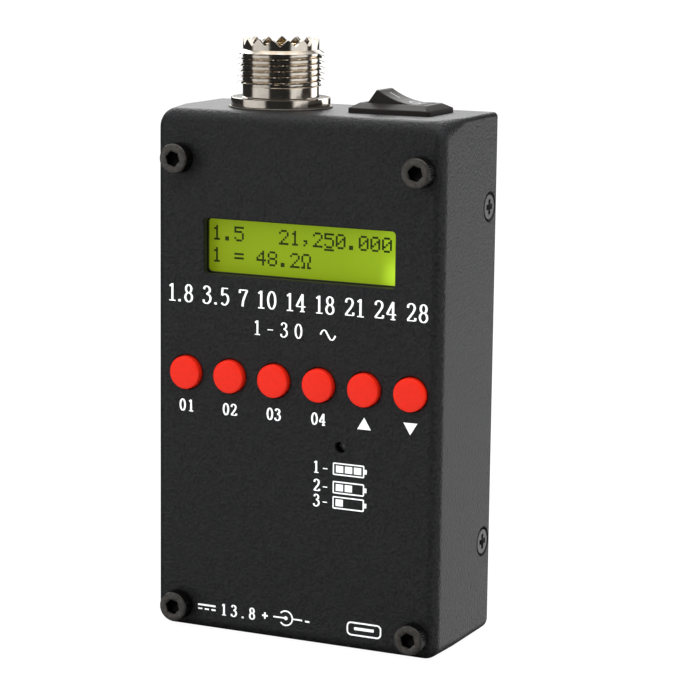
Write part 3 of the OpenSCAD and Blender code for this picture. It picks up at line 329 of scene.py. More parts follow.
def on_side(side, z):
    return lambda a, b, out: Vector((side * (case_hi.x + out), BACK_Y - COVER_SCREW_IN + a, z + b))


sink = ((SINK_R + FLARE, FLARE), (SINK_R, 0), (M3_HOLE_R, -WALL), (M3_HOLE_R, -PUNCH_DEPTH))
for side, z in cover_places:
    place = on_side(side, z)
    holes.append(skin([[place(a, b, out) for a, b in circle_outline(r)(0)] for r, out in sink]))
cut(shell, *holes)
coat = powder_coat()
finished(shell, coat, stands_for=["front_shell"])


# Back cover: a flat steel plate with two side flanges, coated like the shell. It drops into the shell
# from behind with a hair gap all round, and four countersunk screws in the side walls hold it.
COVER_GAP = 0.15 * MM
COVER_T = 1.2 * MM
COVER_EDGE = 0.35 * MM
FLANGE_L, FLANGE_H, FLANGE_CORNER = 8 * MM, 84 * MM, 1.5 * MM
FLANGE_DROP, FLANGE_SHY = 0.05 * MM, 0.02 * MM

plate = skin([
    case_ring(WALL + COVER_GAP + inset, BACK_Y - down)
    for inset, down in ((0, COVER_T), (0, COVER_EDGE), (0.1 * MM, 0.1 * MM), (COVER_EDGE, 0))
])
cover_x = case_hi.x - WALL - COVER_GAP
middle_z = (case_lo.z + case_hi.z) / 2
flange_y = BACK_Y - COVER_T - FLANGE_L / 2 + COVER_T / 2 - FLANGE_DROP
outline = round_outline(FLANGE_L + COVER_T, FLANGE_H, FLANGE_CORNER)
flanges = []
for side in (-1, 1):
    flanges.append(skin([
        [Vector((side * (cover_x - t), flange_y + a, middle_z + b)) for a, b in outline]
        for t in (FLANGE_SHY, COVER_T)
    ]))
points, faces = join_parts(plate, *flanges)
piece("back_cover_steel", points, faces, coat, stands_for=["back_cover"])


# Panel screws: four M3 socket-head screws in black oxide, knurled round the head, with a turned
# chamfer and a broached 2.5 mm hexagon. They pass the face and screw into the stand-offs.
HEAD_R = 2.75 * MM
HEAD_H = 3 * MM
HEX_HALF, HEX_DEPTH = 1.25 * MM, 1.5 * MM
HEX_TURN = radians(15)
KNURLS, KNURL_DEPTH = 36, 0.11 * MM
SHANK_R, TIP_R = 1.45 * MM, 1.2 * MM


def hexagon(turn):
    """Distance from the axis to a hexagon's side, over half its key size, at an angle."""
    return 1 / cos((turn % (pi / 3)) - pi / 6)


def panel_screw(x, z, count=144):
    """One screw: its shank, its knurled head and the hexagon socket, from the tip inward."""
    def ring(out, radius):
        made = []
        for k in range(count):
            turn = 2 * pi * k / count
            r = radius(turn)
            made.append(Vector((x + r * cos(turn), FRONT_Y - out, z + r * sin(turn))))
        return made

    def knurled(depth):
        return lambda turn: HEAD_R - depth * (0.5 + 0.5 * cos(KNURLS * turn))

    def plain(radius):
        return lambda turn: radius

    def socket_wall(half):
        return lambda turn: half * hexagon(turn + HEX_TURN)

    profile = (
        (-6 * MM, plain(TIP_R)), (-5.8 * MM, plain(SHANK_R)), (0, plain(SHANK_R)),
        (0, plain(HEAD_R - 0.12 * MM)), (0.12 * MM, plain(HEAD_R - 0.02 * MM)),
        (0.3 * MM, knurled(0)), (0.36 * MM, knurled(KNURL_DEPTH)),
        (HEAD_H - 0.5 * MM, knurled(KNURL_DEPTH)), (HEAD_H - 0.42 * MM, knurled(0)),
        (HEAD_H - 0.3 * MM, plain(HEAD_R - 0.01 * MM)), (HEAD_H - 0.13 * MM, plain(HEAD_R - 0.1 * MM)),
        (HEAD_H - 0.03 * MM, plain(HEAD_R - 0.25 * MM)), (HEAD_H, plain(HEAD_R - 0.4 * MM)),
        (HEAD_H, plain(HEX_HALF + 0.32 * MM)), (HEAD_H - 0.1 * MM, socket_wall(HEX_HALF + 0.02 * MM)),
        (HEAD_H - HEX_DEPTH, socket_wall(HEX_HALF)), (HEAD_H - 1.6 * MM, plain(HEX_HALF * 0.85)),
        (HEAD_H - 2 * MM, plain(0.1 * MM))
    )
    return skin([ring(out, radius) for out, radius in profile])


def oxide_finish():
    """Black oxide with a grey sheen on the turned face; below it the knurled side and the socket get painted
    shade, near black.
    """
    material = finish_colour("black_oxide", (0.08, 0.074, 0.068), 0.36, 0.75, 0.3, (1500, 0.008))
    nodes, links = material.node_tree.nodes, material.node_tree.links
    split = nodes.new("ShaderNodeSeparateXYZ")
    links.new(nodes["Texture Coordinate"].outputs["Object"], split.inputs["Vector"])
    top_y = FRONT_Y - HEAD_H
    # Painted shade: from just under the turned face inward the colour goes near black, standing in for the
    # shade on the knurls and in the socket.
    depth = mapped(nodes, links, split.outputs["Y"], top_y + 0.12 * MM, top_y + 0.5 * MM)
    painted_shade = nodes.new("ShaderNodeMix")
    painted_shade.data_type = "RGBA"
    painted_shade.inputs["B"].default_value = (0.006, 0.0055, 0.005, 1)
    links.new(depth.outputs["Result"], painted_shade.inputs["Factor"])
    links.new(nodes["Color Ramp"].outputs["Color"], painted_shade.inputs["A"])
    links.new(painted_shade.outputs["Result"], nodes["Principled BSDF"].inputs["Base Color"])
    return material


black_oxide = oxide_finish()
points, faces = join_parts(*[panel_screw(x, z) for x, z in screw_places])
piece("panel_screw_heads", points, faces, black_oxide, stands_for=["panel_screws"],
      sharp=25)


# Cover screws: four countersunk M3 screws with a pressed cross recess, black, flush in the side walls.
# Their threads bite into the flanges of the back cover.
CROSS_HALF_L, CROSS_HALF_W = 1.5 * MM, 0.5 * MM
CROSS_DEPTH, CROSS_OUT = 1.1 * MM, 0.1 * MM
SIDE_HEAD_R = 2.28 * MM


def turned_rings(place, profile, count=64):
    """Rings of a turned piece: profile holds (radius, out) pairs and place puts them in the case."""
    return [
        [place(r * cos(2 * pi * k / count), r * sin(2 * pi * k / count), out) for k in range(count)]
        for r, out in profile
    ]


def cross_arm(place, turned):
    """A straight bar that cuts one arm of a cross recess, its ends sloped."""
    def corner(a, b, out):
        return place(a * cos(turned) - b * sin(turned), a * sin(turned) + b * cos(turned), out)
    foot = (CROSS_HALF_L * 0.45, CROSS_HALF_W * 0.7, -CROSS_DEPTH)
    rings = []
    for length, width, out in (foot, (CROSS_HALF_L, CROSS_HALF_W, CROSS_OUT)):
        rings.append([
            corner(sa * length, sb * width, out) for sa, sb in ((1, 1), (-1, 1), (-1, -1), (1, -1))
        ])
    return skin(rings)


profile = [
    (TIP_R, -5 * MM), (SHANK_R, -4.7 * MM), (SHANK_R, -WALL), (SIDE_HEAD_R, -0.4 * MM),
    (SIDE_HEAD_R, -0.12 * MM), (SIDE_HEAD_R - 0.14 * MM, -0.04 * MM)
]
heads = []
for side, z in cover_places:
    place = on_side(side, z)
    head = linked("head", face_outward(new_mesh("head", *skin(turned_rings(place, profile)))))
    for turned in (0, pi / 2):
        cut(head, cross_arm(place, turned))
    mesh = head.data
    heads.append(([v.co.copy() for v in mesh.vertices], [tuple(f.vertices) for f in mesh.polygons]))
    bpy.data.objects.remove(head)
points, faces = join_parts(*heads)
screw_black = (0.028, 0.028, 0.028)
side_black = finish_colour("side_screw_black", screw_black, 0.42, 0.3, 0.2, (1500, 0.006))
piece("cover_screw_heads", points, faces, side_black, stands_for=["cover_screws"])


# Antenna socket: a turned brass shell, nickel plated, with a round flange, a 5/8 inch coupling thread
# and a crown of pointed teeth. Its rear barrel passes the case's top and a nut clamps it from inside.
crown_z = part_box("connector_body")[1].z
FLANGE_R = 9.1 * MM
FLANGE_T = 1.55 * MM
NECK_R = 6.95 * MM
NECK_H = 1.95 * MM
THREAD_R = 7.9375 * MM
THREAD_ROOT_R = 7 * MM
PITCH = 1.058 * MM
RIDGES = 6
CREST, FLANK = 1.08, 0.27
THREAD_START, RUN_OUT = 0.4, 0.45
CONE_SLOPE = 1.6
TEETH = 15
TOOTH_H = 1.35 * MM
TOOTH_TURN, TOOTH_TIP = radians(4.7), 0.97
BORE_R, BORE_FLOOR = 6.2 * MM, 0.6 * MM
INSULATOR_R = 4.8 * MM
REAR_Z = 90 * MM
SPOKES = 140
THREAD_RINGS = 132
flange_z = washer_hi.z
neck_z = flange_z + FLANGE_T
thread_z = neck_z + NECK_H
ring_z = thread_z + RIDGES * PITCH
cone_z = ring_z + 0.4 * MM
tooth_z = crown_z - TOOTH_H
bore_z = neck_z + BORE_FLOOR


def round_ring(radius, z, count=SPOKES):
    """A ring about the socket's axis; radius and height may be numbers or follow the angle."""
    made = []
    for k in range(count):
        turn = 2 * pi * k / count
        r = radius(turn) if callable(radius) else radius
        h = z(turn) if callable(z) else z
        made.append(Vector((socket.x + r * cos(turn), socket.y + r * sin(turn), h)))
    return made


def thread_radius(share):
    """Radius across one thread, from groove to crest and back, as share runs from 0 to 1."""
    rise = min(1, max(0, CREST - abs(share % 1 - 0.5) / FLANK))
    return THREAD_ROOT_R + (THREAD_R - THREAD_ROOT_R) * rise


def helix_ring(z):
    """A level ring through the helical thread, which runs out below and ends in a cone above."""
    fade = min(1, max(0, (z - thread_z) / (RUN_OUT * PITCH)))
    cone = NECK_R + (cone_z - z) * CONE_SLOPE

    def radius(turn):
        full = thread_radius((z - thread_z) / PITCH - turn / (2 * pi) + THREAD_START)
        return min(max(NECK_R + (full - NECK_R) * fade, cone if z > ring_z - 0.2 * MM else 0), cone)
    return round_ring(radius, z)


def tooth_height(inset):
    def height(turn):
        share = ((turn + TOOTH_TURN) * TEETH / (2 * pi)) % 1
        return tooth_z + TOOTH_H * min(TOOTH_TIP, 2 * abs(share - 0.5)) - inset
    return height


flange_part = (
    (INSULATOR_R, REAR_Z), (BARREL_R, REAR_Z), (BARREL_R, flange_z), (FLANGE_R - 0.1 * MM, flange_z),
    (FLANGE_R, flange_z + 0.1 * MM), (FLANGE_R, neck_z - 0.14 * MM),
    (FLANGE_R - 0.04 * MM, neck_z - 0.04 * MM), (FLANGE_R - 0.14 * MM, neck_z),
    (NECK_R + 0.15 * MM, neck_z), (NECK_R, neck_z + 0.15 * MM), (NECK_R, thread_z)
)
crown_part = (
    (NECK_R, cone_z), (NECK_R, tooth_z - 0.1 * MM), (NECK_R, tooth_height(0.05 * MM)),
    (NECK_R - 0.06 * MM, tooth_height(0)), (BORE_R + 0.05 * MM, tooth_height(0)),
    (BORE_R, tooth_height(0.05 * MM)), (BORE_R, tooth_z - 0.3 * MM), (BORE_R, bore_z),
    (INSULATOR_R, bore_z), (INSULATOR_R, REAR_Z)
)
rings = [round_ring(radius, z) for radius, z in flange_part]
rings += [helix_ring(thread_z + (cone_z - thread_z) * k / THREAD_RINGS) for k in range(1, THREAD_RINGS)]
rings += [round_ring(radius, z) for radius, z in crown_part]
points, faces = skin(rings, False, False)
nickel = finish_colour("nickel_plate", (0.8, 0.73, 0.64), 0.12, metal=1.0, spread=0.06, grain=(900, 0.012))
piece("socket_shell", points, faces, nickel, stands_for=["connector_body"], sharp=28)

WASHER_R, WASHER_HOLE_R = 9.5 * MM, 7.1 * MM
WASHER_T, WASHER_EDGE = 0.3 * MM, 0.08 * MM
profile = (
    (WASHER_HOLE_R, 0), (WASHER_R - WASHER_EDGE, 0), (WASHER_R, WASHER_EDGE),
    (WASHER_R, WASHER_T - WASHER_EDGE), (WASHER_R - WASHER_EDGE, WASHER_T), (WASHER_HOLE_R, WASHER_T),
    (WASHER_HOLE_R, 0)
)
points, faces = skin(turned_rings(on_top(socket.x, socket.y, washer_lo.z), profile, 96), False, False)
dull_steel = (0.16, 0.145, 0.125)
washer_steel = finish_colour("washer_steel", dull_steel, 0.42, metal=0.8, spread=0.25, grain=(900, 0.01))
piece("socket_washer", points, faces, washer_steel, stands_for=["connector_washer"])


# Rocker switch: a moulded snap-in housing whose bezel slopes in to the well, and a hollow-topped rocker
# on two pins. Both are satin black plastic; the marks I and O are grey ink on the rocker.
BEZEL_L, BEZEL_W = switch_hi.x - switch_lo.x, switch_hi.y - switch_lo.y
BEZEL_RIM, BEZEL_H = 0.8 * MM, 1.75 * MM
SLOPE_X, SLOPE_Y = 1.45 * MM, 1.9 * MM
WELL_L, WELL_W, WELL_DEPTH = 11.4 * MM, 6.7 * MM, 7 * MM
BODY_L, BODY_W, BODY_DEPTH = 13 * MM, 8.8 * MM, 12.5 * MM
MOUTH_L, MOUTH_W = BEZEL_L - 2 * SLOPE_X, BEZEL_W - 2 * SLOPE_Y
ROUND = 0.12 * MM
RIM_R, BODY_R = 0.55 * MM, 0.4 * MM
top_z = case_hi.z

# Length, width, height above the case and corner radius of each outline, from the well to the body
section = (
    (WELL_L, WELL_W, -WELL_DEPTH, 0.2 * MM), (WELL_L, WELL_W, BEZEL_H - ROUND, 0.2 * MM),
    (WELL_L + 0.08 * MM, WELL_W + 0.08 * MM, BEZEL_H - 0.03 * MM, 0.22 * MM),
    (WELL_L + 2 * ROUND, WELL_W + 2 * ROUND, BEZEL_H, 0.3 * MM),
    (MOUTH_L - 0.1 * MM, MOUTH_W - 0.1 * MM, BEZEL_H, BODY_R),
    (MOUTH_L + 0.2 * MM, MOUTH_W + 0.16 * MM, BEZEL_H - 0.07 * MM, BODY_R),
    (BEZEL_L - 0.25 * MM, BEZEL_W - 0.2 * MM, BEZEL_RIM + 0.1 * MM, 0.5 * MM),
    (BEZEL_L, BEZEL_W, BEZEL_RIM - 0.06 * MM, RIM_R), (BEZEL_L, BEZEL_W, 0.05 * MM, RIM_R),
    (BEZEL_L - 0.1 * MM, BEZEL_W - 0.1 * MM, 0, RIM_R), (BODY_L, BODY_W, 0, BODY_R),
    (BODY_L, BODY_W, -BODY_DEPTH, BODY_R)
)
points, faces = skin([
    [Vector((switch.x + a, switch.y + b, top_z + z)) for a, b in round_outline(length, width, radius, 5)]
    for length, width, z, radius in section
])
warm_black = (0.014, 0.0115, 0.011)
satin_black = finish_colour("satin_black", warm_black, 0.46, spread=0.2, grain=(2200, 0.02), shine=0.2)
piece("switch_bezel", points, faces, satin_black, stands_for=["power_switch_housing"])

TILT = radians(16.5)
ROCKER_TOP, ROCKER_H = 4.4 * MM, 3.13 * MM
ROCKER_HALF, ROCKER_WIDE_Z = 5.4 * MM, 0.39 * MM
ROCKER_DEEP, ROCKER_FOOT = 2.2 * MM, 4.4 * MM
ROCKER_LIP = 0.22 * MM
ROCKER_EDGE = ((0.28, 0), (0.09, 0.07), (0, 0.28))
DISH_R = 14 * MM
ROCKER_W = 6.4 * MM
PIN_R, PIN_FROM, PIN_TO = 1 * MM, 3.1 * MM, 3.95 * MM
dish_z = ROCKER_H + sqrt(DISH_R ** 2 - ROCKER_TOP ** 2)


def on_rocker(a, b, c):
    """A point of the rocker, given level about its pivot, as it stands when switched off."""
    across, up = a * cos(TILT) + c * sin(TILT), -a * sin(TILT) + c * cos(TILT)
    return Vector((switch.x + across, switch.y + b, top_z + up))


def dish(a):
    return dish_z - sqrt(DISH_R ** 2 - a ** 2)


def rocker_side(inset):
    """The rocker's outline seen from its side, moved in all round."""
    top, low = ROCKER_TOP - inset, -ROCKER_DEEP + inset
    outline = [(-ROCKER_FOOT + inset, low), (ROCKER_FOOT - inset, low), (ROCKER_HALF - inset, ROCKER_WIDE_Z)]
    outline.append((top + 0.1 * MM, dish(top) - ROCKER_LIP - inset))
    outline += [(a, dish(a) - inset) for a in [top * (1 - k / 14) for k in range(1, 28)]]
    outline.append((-top - 0.1 * MM, dish(top) - ROCKER_LIP - inset))
    return outline + [(-ROCKER_HALF + inset, ROCKER_WIDE_Z)]


rings = []
for side in (-1, 1):
    for inset, back_off in ROCKER_EDGE[::-side]:
        b = side * (ROCKER_W / 2 - back_off * MM)
        rings.append([on_rocker(a, b, c) for a, c in rocker_side(inset * MM)])
points, faces = skin(rings)
pins = []
for side in (-1, 1):
    pin = [
        [on_rocker(PIN_R * cos(2 * pi * k / 32), side * b, PIN_R * sin(2 * pi * k / 32)) for k in range(32)]
        for b in (PIN_FROM, PIN_TO)
    ]
    pins.append(skin(pin))
points, faces = join_parts((points, faces), *pins)
piece("rocker_key", points, faces, satin_black, "rocker", ["power_rocker"], sharp=38)

INK = 0.015 * MM


def ink_strip(outline_pairs, place):
    """A thin closed band of ink between pairs of points, laid where place puts them."""
    points = [place(*p, h) for pair in outline_pairs for p in pair for h in (0, INK)]
    faces = []
    for k in range(len(outline_pairs) - 1):
        q = 4 * k
        faces += [(q + 1, q + 3, q + 7, q + 5), (q, q + 4, q + 6, q + 2)]
        faces += [(q, q + 1, q + 5, q + 4), (q + 2, q + 6, q + 7, q + 3)]
    last = 4 * (len(outline_pairs) - 1)
    if outline_pairs[0] != outline_pairs[-1]:
        faces += [(0, 2, 3, 1), (last, last + 1, last + 3, last + 2)]
    return points, faces


def on_dish(a, b, out):
    return on_rocker(a, b, dish(a) + out)


BAR_X, BAR_L, BAR_HALF = -3.1 * MM, 2.2 * MM, 0.12 * MM
RING_X, RING_RADII = 2.1 * MM, (0.8 * MM, 1.02 * MM)
bar_mark = [tuple((BAR_X + BAR_L * k / 6, b) for b in (-BAR_HALF, BAR_HALF)) for k in range(7)]
RING_STEPS = 40
ring_mark = []
for k in range(RING_STEPS + 1):
    turn = 2 * pi * k / RING_STEPS
    ring_mark.append(tuple((RING_X + r * cos(turn), r * sin(turn)) for r in RING_RADII))
points, faces = join_parts(ink_strip(bar_mark, on_dish), ink_strip(ring_mark, on_dish))
rocker_ink = finish_colour("rocker_ink", (0.4, 0.4, 0.41), 0.5, spread=0.1, grain=(1200, 0.004))
piece("rocker_marks", points, faces, rocker_ink, "rocker")


# Key caps: six round caps moulded in red plastic, their front edge rounded. Each stands in its hole,
# is kept by a rim behind the face and sits on the plunger of its switch.
CAP_EDGE, CAP_FALL = 0.3 * MM, 0.42 * MM
CAP_RIM_R, CAP_RIM_T, CAP_RIM_GAP = 3.7 * MM, 0.8 * MM, 0.2 * MM
STEM_HOLE_R, STEM_HOLE_H = 1.75 * MM, 3.8 * MM


def on_cap(cap, y):
    return lambda a, b, out: Vector((cap.x + a, y - out, cap.z + b))


signal_red = (0.56, 0.014, 0.0045)
red_plastic = finish_colour("red_plastic", signal_red, 0.36, spread=0.05, grain=(1500, 0.006), shine=0.16)
for i, cap in enumerate(caps, 1):
    lo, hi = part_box(f"button_cap_{i}")
    rim, foot = FRONT_Y + WALL + CAP_RIM_GAP - lo.y, lo.y - hi.y
    profile = [(0.01 * MM, 0), (1.6 * MM, -0.015 * MM), (2.5 * MM, -0.05 * MM), (2.78 * MM, -0.1 * MM)]
    profile += [
        (CAP_R - CAP_EDGE + CAP_EDGE * sin(radians(a)), -CAP_FALL + CAP_EDGE * cos(radians(a)))
        for a in (20, 45, 70, 90)
    ]
    profile += [(CAP_R, -rim), (CAP_RIM_R, -rim), (CAP_RIM_R, -rim - CAP_RIM_T), (CAP_R, -rim - CAP_RIM_T)]
    profile += [(CAP_R, foot), (STEM_HOLE_R, foot), (STEM_HOLE_R, foot + STEM_HOLE_H)]
    points, faces = skin(turned_rings(on_cap(cap, lo.y), profile, 72))
    piece(f"key_cap_{i}", points, faces, red_plastic, f"button_{i}", [f"button_cap_{i}"],
          sharp=40)


# Display: a two-line character module behind the window. A black pressed frame holds the glass, whose
# yellow-green back light is brightest at its right end; each character is made of square dots.
frame_lo, frame_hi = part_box("lcd_frame")
LAP_X, LAP_Z = 2.3 * MM, 2.6 * MM
OPEN_R = 0.8 * MM


def display_glow():
    """Yellow-green display: partly lit from behind, brightest at the right, under clear glass."""
    material, nodes, links = new_material("display_glow")
    shader = nodes["Principled BSDF"]
    place = nodes.new("ShaderNodeTexCoord")
    split = nodes.new("ShaderNodeSeparateXYZ")
    links.new(place.outputs["Object"], split.inputs["Vector"])
    left_x, right_x = glass_mid.x - WINDOW_W / 2 - 1 * MM, glass_mid.x + WINDOW_W / 2
    across = mapped(nodes, links, split.outputs["X"], left_x, right_x)
    cloud = nodes.new("ShaderNodeTexNoise")
    cloud.inputs["Scale"].default_value = 160
    links.new(place.outputs["Object"], cloud.inputs["Vector"])
    sway = nodes.new("ShaderNodeMath")
    sway.operation = "MULTIPLY_ADD"
    sway.inputs[1].default_value = 0.08
    links.new(cloud.outputs["Fac"], sway.inputs[0])
    links.new(across.outputs["Result"], sway.inputs[2])
    glow = nodes.new("ShaderNodeValToRGB")
    set_stops(glow, (
        (0.04, (0.27, 0.37, 0.007)), (0.3, (0.29, 0.42, 0.009)), (0.75, (0.30, 0.45, 0.010)),
        (0.94, (0.34, 0.51, 0.012)), (1.0, (0.42, 0.64, 0.016))
    ))
    links.new(sway.outputs["Value"], glow.inputs["Fac"])
    reach = nodes.new("ShaderNodeVectorMath")
    reach.operation = "DISTANCE"
    reach.inputs[1].default_value = (right_x, glass_lo.y, glass_mid.z - WINDOW_H / 3)
    links.new(place.outputs["Object"], reach.inputs[0])
    corner = mapped(nodes, links, reach.outputs["Value"], 0, 4.8 * MM, 1, 0)
    corner.interpolation_type = "SMOOTHSTEP"
    lit = nodes.new("ShaderNodeMix")
    lit.data_type = "RGBA"
    lit.inputs["B"].default_value = (0.95, 1.5, 0.08, 1)
    links.new(corner.outputs["Result"], lit.inputs["Factor"])
    links.new(glow.outputs["Color"], lit.inputs["A"])
    links.new(lit.outputs["Result"], shader.inputs["Emission Color"])
    shader.inputs["Emission Strength"].default_value = 0.4
    dim = nodes.new("ShaderNodeHueSaturation")
    dim.inputs["Value"].default_value = 0.36
    links.new(glow.outputs["Color"], dim.inputs["Color"])
    links.new(dim.outputs["Color"], shader.inputs["Base Color"])
    shader.inputs["Roughness"].default_value = 0.5
    shader.inputs["Specular IOR Level"].default_value = 0.1
    return material


FRAME_W, FRAME_H = frame_hi.x - frame_lo.x, frame_hi.z - frame_lo.z
BEND = 0.15 * MM
outer = round_outline(FRAME_W, FRAME_H, 0.5 * MM)
lip = round_outline(FRAME_W - 2 * BEND, FRAME_H - 2 * BEND, 0.4 * MM)
inner = round_outline(glass_hi.x - glass_lo.x - 2 * LAP_X, glass_hi.z - glass_lo.z - 2 * LAP_Z, OPEN_R)
frame_mid = middle("lcd_frame")


def frame_ring(outline, y, centre=frame_mid):
    return [Vector((centre.x + a, y, centre.z + b)) for a, b in outline]


rings = [frame_ring(outer, frame_hi.y), frame_ring(outer, frame_lo.y + BEND), frame_ring(lip, frame_lo.y)]
rings += [frame_ring(inner, frame_lo.y, glass_mid), frame_ring(inner, glass_lo.y - 0.03 * MM, glass_mid)]
points, faces = skin(rings, False, False)
tin_black = finish_colour("display_frame_black", (0.016, 0.015, 0.014), 0.4, spread=0.2, grain=(1800, 0.01))
piece("display_frame", points, faces, tin_black, stands_for=["lcd_frame"])

# Seven rows of five dots from the top, each row as bits
DOTS = {
    "0": (14, 17, 19, 21, 25, 17, 14), "1": (4, 12, 4, 4, 4, 4, 14), "2": (14, 17, 1, 2, 4, 8, 31),
    "4": (2, 6, 10, 18, 31, 2, 2), "5": (31, 16, 30, 1, 1, 17, 14), "8": (14, 17, 17, 14, 17, 17, 14),
    ".": (0, 0, 0, 0, 0, 12, 12), ",": (0, 0, 0, 0, 12, 4, 8), "=": (0, 0, 31, 0, 31, 0, 0),
    "o": (14, 17, 17, 17, 10, 10, 27), " ": (0,) * 7
}
CELL, DOT, DOT_W = 2.265 * MM, 0.388 * MM, 0.98
LEFT_X = -18.15 * MM
FIRST_ROW_Z, SECOND_ROW_Z = 75.6 * MM, 71.55 * MM
DOT_LOW, DOT_HIGH = 0.005 * MM, 0.02 * MM
CURSOR_COLUMN, CURSOR_ROW = 10, 7.3
dots = []
for line, top in (("1.5   21,250.000", FIRST_ROW_Z), ("1 = 48.2o", SECOND_ROW_Z)):
    for column, sign in enumerate(line):
        for row, bits in enumerate(DOTS[sign]):
            for bit in range(5):
                if bits >> (4 - bit) & 1:
                    dots.append((LEFT_X + column * CELL + bit * DOT, top - row * DOT))
dots += [(LEFT_X + CURSOR_COLUMN * CELL + bit * DOT, FIRST_ROW_Z - CURSOR_ROW * DOT) for bit in range(5)]
parts = []
for x, z in dots:
    corners = [(x, z), (x + DOT * DOT_W, z), (x + DOT * DOT_W, z - DOT * DOT_W), (x, z - DOT * DOT_W)]
    parts.append(skin([
        [Vector((a, glass_lo.y - out, b)) for a, b in corners] for out in (DOT_LOW, DOT_HIGH)
    ]))
points, faces = join_parts(*parts)
dark_green = (0.018, 0.03, 0.004)
dot_dark = finish_colour("display_dots", dark_green, 0.6, spread=0.3, grain=(900, 0.002), shine=0.1)
piece("display_characters", points, faces, dot_dark)


# Printed marks: white screen print on the face, with numbers, arrows, battery signs and the signs of
# the power inlet and the data socket. The pen is thick where it runs upright and thin across.
def curve_through(points, steps=6):
    """Samples a smooth curve through points."""
    if len(points) < 3:
        return points
    ends = [points[0]] + list(points) + [points[-1]]
    made = []
    for i in range(1, len(ends) - 2):
        a, b, c, d = ends[i - 1:i + 3]
        for k in range(steps):
            t = k / steps
            made.append(tuple(
                0.5 * (2 * b[j] + (c[j] - a[j]) * t + (2 * a[j] - 5 * b[j] + 4 * c[j] - d[j]) * t * t
                       + (3 * b[j] - a[j] - 3 * c[j] + d[j]) * t ** 3) for j in (0, 1)
            ))
    return made + [points[-1]]


def oval(x, z, half_w, half_h, count=28):
    turns = [2 * pi * k / count for k in range(count + 1)]
    return [(x + half_w * cos(turn), z + half_h * sin(turn)) for turn in turns]


# Each sign's width and its lines, for a height of one
GLYPHS = {
    "0": (0.62, [oval(0.3, 0.5, 0.22, 0.47)]),
    "1": (0.5, [[(0.25, 0.02), (0.25, 0.98)], [(0.25, 0.95), (0.08, 0.82)], [(0.06, 0.03), (0.45, 0.03)]]),
    "2": (0.62, [
        curve_through([(0.1, 0.74), (0.14, 0.9), (0.3, 0.97), (0.46, 0.88), (0.49, 0.7), (0.4, 0.5),
                       (0.22, 0.26), (0.08, 0.07)]),
        [(0.06, 0.06), (0.54, 0.06)], [(0.53, 0.06), (0.55, 0.22)]
    ]),
    "3": (0.62, [
        curve_through([(0.1, 0.8), (0.17, 0.94), (0.31, 0.97), (0.45, 0.86), (0.43, 0.66), (0.26, 0.55)]),
        curve_through([(0.26, 0.54), (0.45, 0.47), (0.51, 0.27), (0.41, 0.08), (0.25, 0.02), (0.1, 0.09),
                       (0.08, 0.22)])
    ]),
    "4": (0.64, [
        [(0.42, 0.02), (0.42, 0.98)], [(0.42, 0.97), (0.06, 0.3)], [(0.04, 0.29), (0.6, 0.29)],
        [(0.28, 0.03), (0.56, 0.03)]
    ]),
    "5": (0.62, [
        [(0.5, 0.94), (0.15, 0.94)], [(0.16, 0.96), (0.13, 0.55)],
        curve_through([(0.13, 0.55), (0.29, 0.62), (0.45, 0.54), (0.51, 0.32), (0.42, 0.1), (0.25, 0.02),
                       (0.09, 0.12)])
    ]),
    "7": (0.6, [
        [(0.07, 0.93), (0.54, 0.93)], [(0.08, 0.94), (0.06, 0.76)],
        curve_through([(0.53, 0.93), (0.39, 0.62), (0.28, 0.32), (0.24, 0.02)])
    ]),
    "8": (0.62, [oval(0.3, 0.74, 0.17, 0.22), oval(0.3, 0.27, 0.21, 0.25)]),
    ".": (0.3, [oval(0.12, 0.06, 0.035, 0.035, 8)]),
    "-": (0.56, [[(0.07, 0.42), (0.47, 0.42)]]),
    "+": (0.66, [[(0.08, 0.45), (0.56, 0.45)], [(0.32, 0.2), (0.32, 0.7)]]),
    "~": (1.3, [
        curve_through([(0.05, 0.42), (0.2, 0.68), (0.4, 0.72), (0.6, 0.42), (0.8, 0.14), (1.0, 0.17),
                       (1.15, 0.42)])
    ]),
    " ": (0.36, [])
}


def pen(points, height, thick, thin, layer):
    """One stroke of ink: a band about a line, thick where it runs upright."""
    pairs = []
    for k, point in enumerate(points):
        before, after = points[max(k - 1, 0)], points[min(k + 1, len(points) - 1)]
        if points[0] == points[-1] and k in (0, len(points) - 1):
            before, after = points[-2], points[1]
        run, rise = after[0] - before[0], after[1] - before[1]
        length = sqrt(run * run + rise * rise) or 1
        half = (thin + (thick - thin) * abs(rise / length)) / 2 * height
        across, up = -rise / length * half, run / length * half
        x, z = point[0] * height, point[1] * height
        pairs.append(((x + across, z + up, layer), (x - across, z - up, layer)))
    return pairs


LAYERS, LAYER_T = 9, 0.0012 * MM
marks = []


def on_print(x, z):
    """Puts a pair and its layer on the face; layers stand a hair apart so that none coincide."""
    return lambda a, b, layer, out: Vector((x + a, FRONT_Y - out - layer * LAYER_T, z + b))


def strokes(x, z, height, lines, thick=0.13, thin=0.06):
    for line in lines:
        marks.append(ink_strip(pen(line, height, thick, thin, len(marks) % LAYERS), on_print(x, z)))


def number(text, left, right, low, height, thick=0.13, thin=0.06):
    """Prints a row of digits and signs, its letters spaced to fill the width."""
    widths = [GLYPHS[sign][0] * height for sign in text]
    spare = (right - left - sum(widths)) / max(len(text) - 1, 1)
    x = left
    for sign, width in zip(text, widths):
        strokes(x, low, height, GLYPHS[sign][1], thick, thin)
        x += width + spare


def drawn(lines, width, low=0):
    """Lines given in millimetres, drawn with a pen of one width."""
    strokes(0, low * MM, MM, lines, width, width)


def filled(corners):
    """A filled shape of ink on the face, given in millimetres."""
    marks.append(skin([[Vector((x * MM, FRONT_Y - out, z * MM)) for x, z in corners] for out in (0, INK)]))


def bar(left, low, right, top):
    filled([(left, low), (right, low), (right, top), (left, top)])


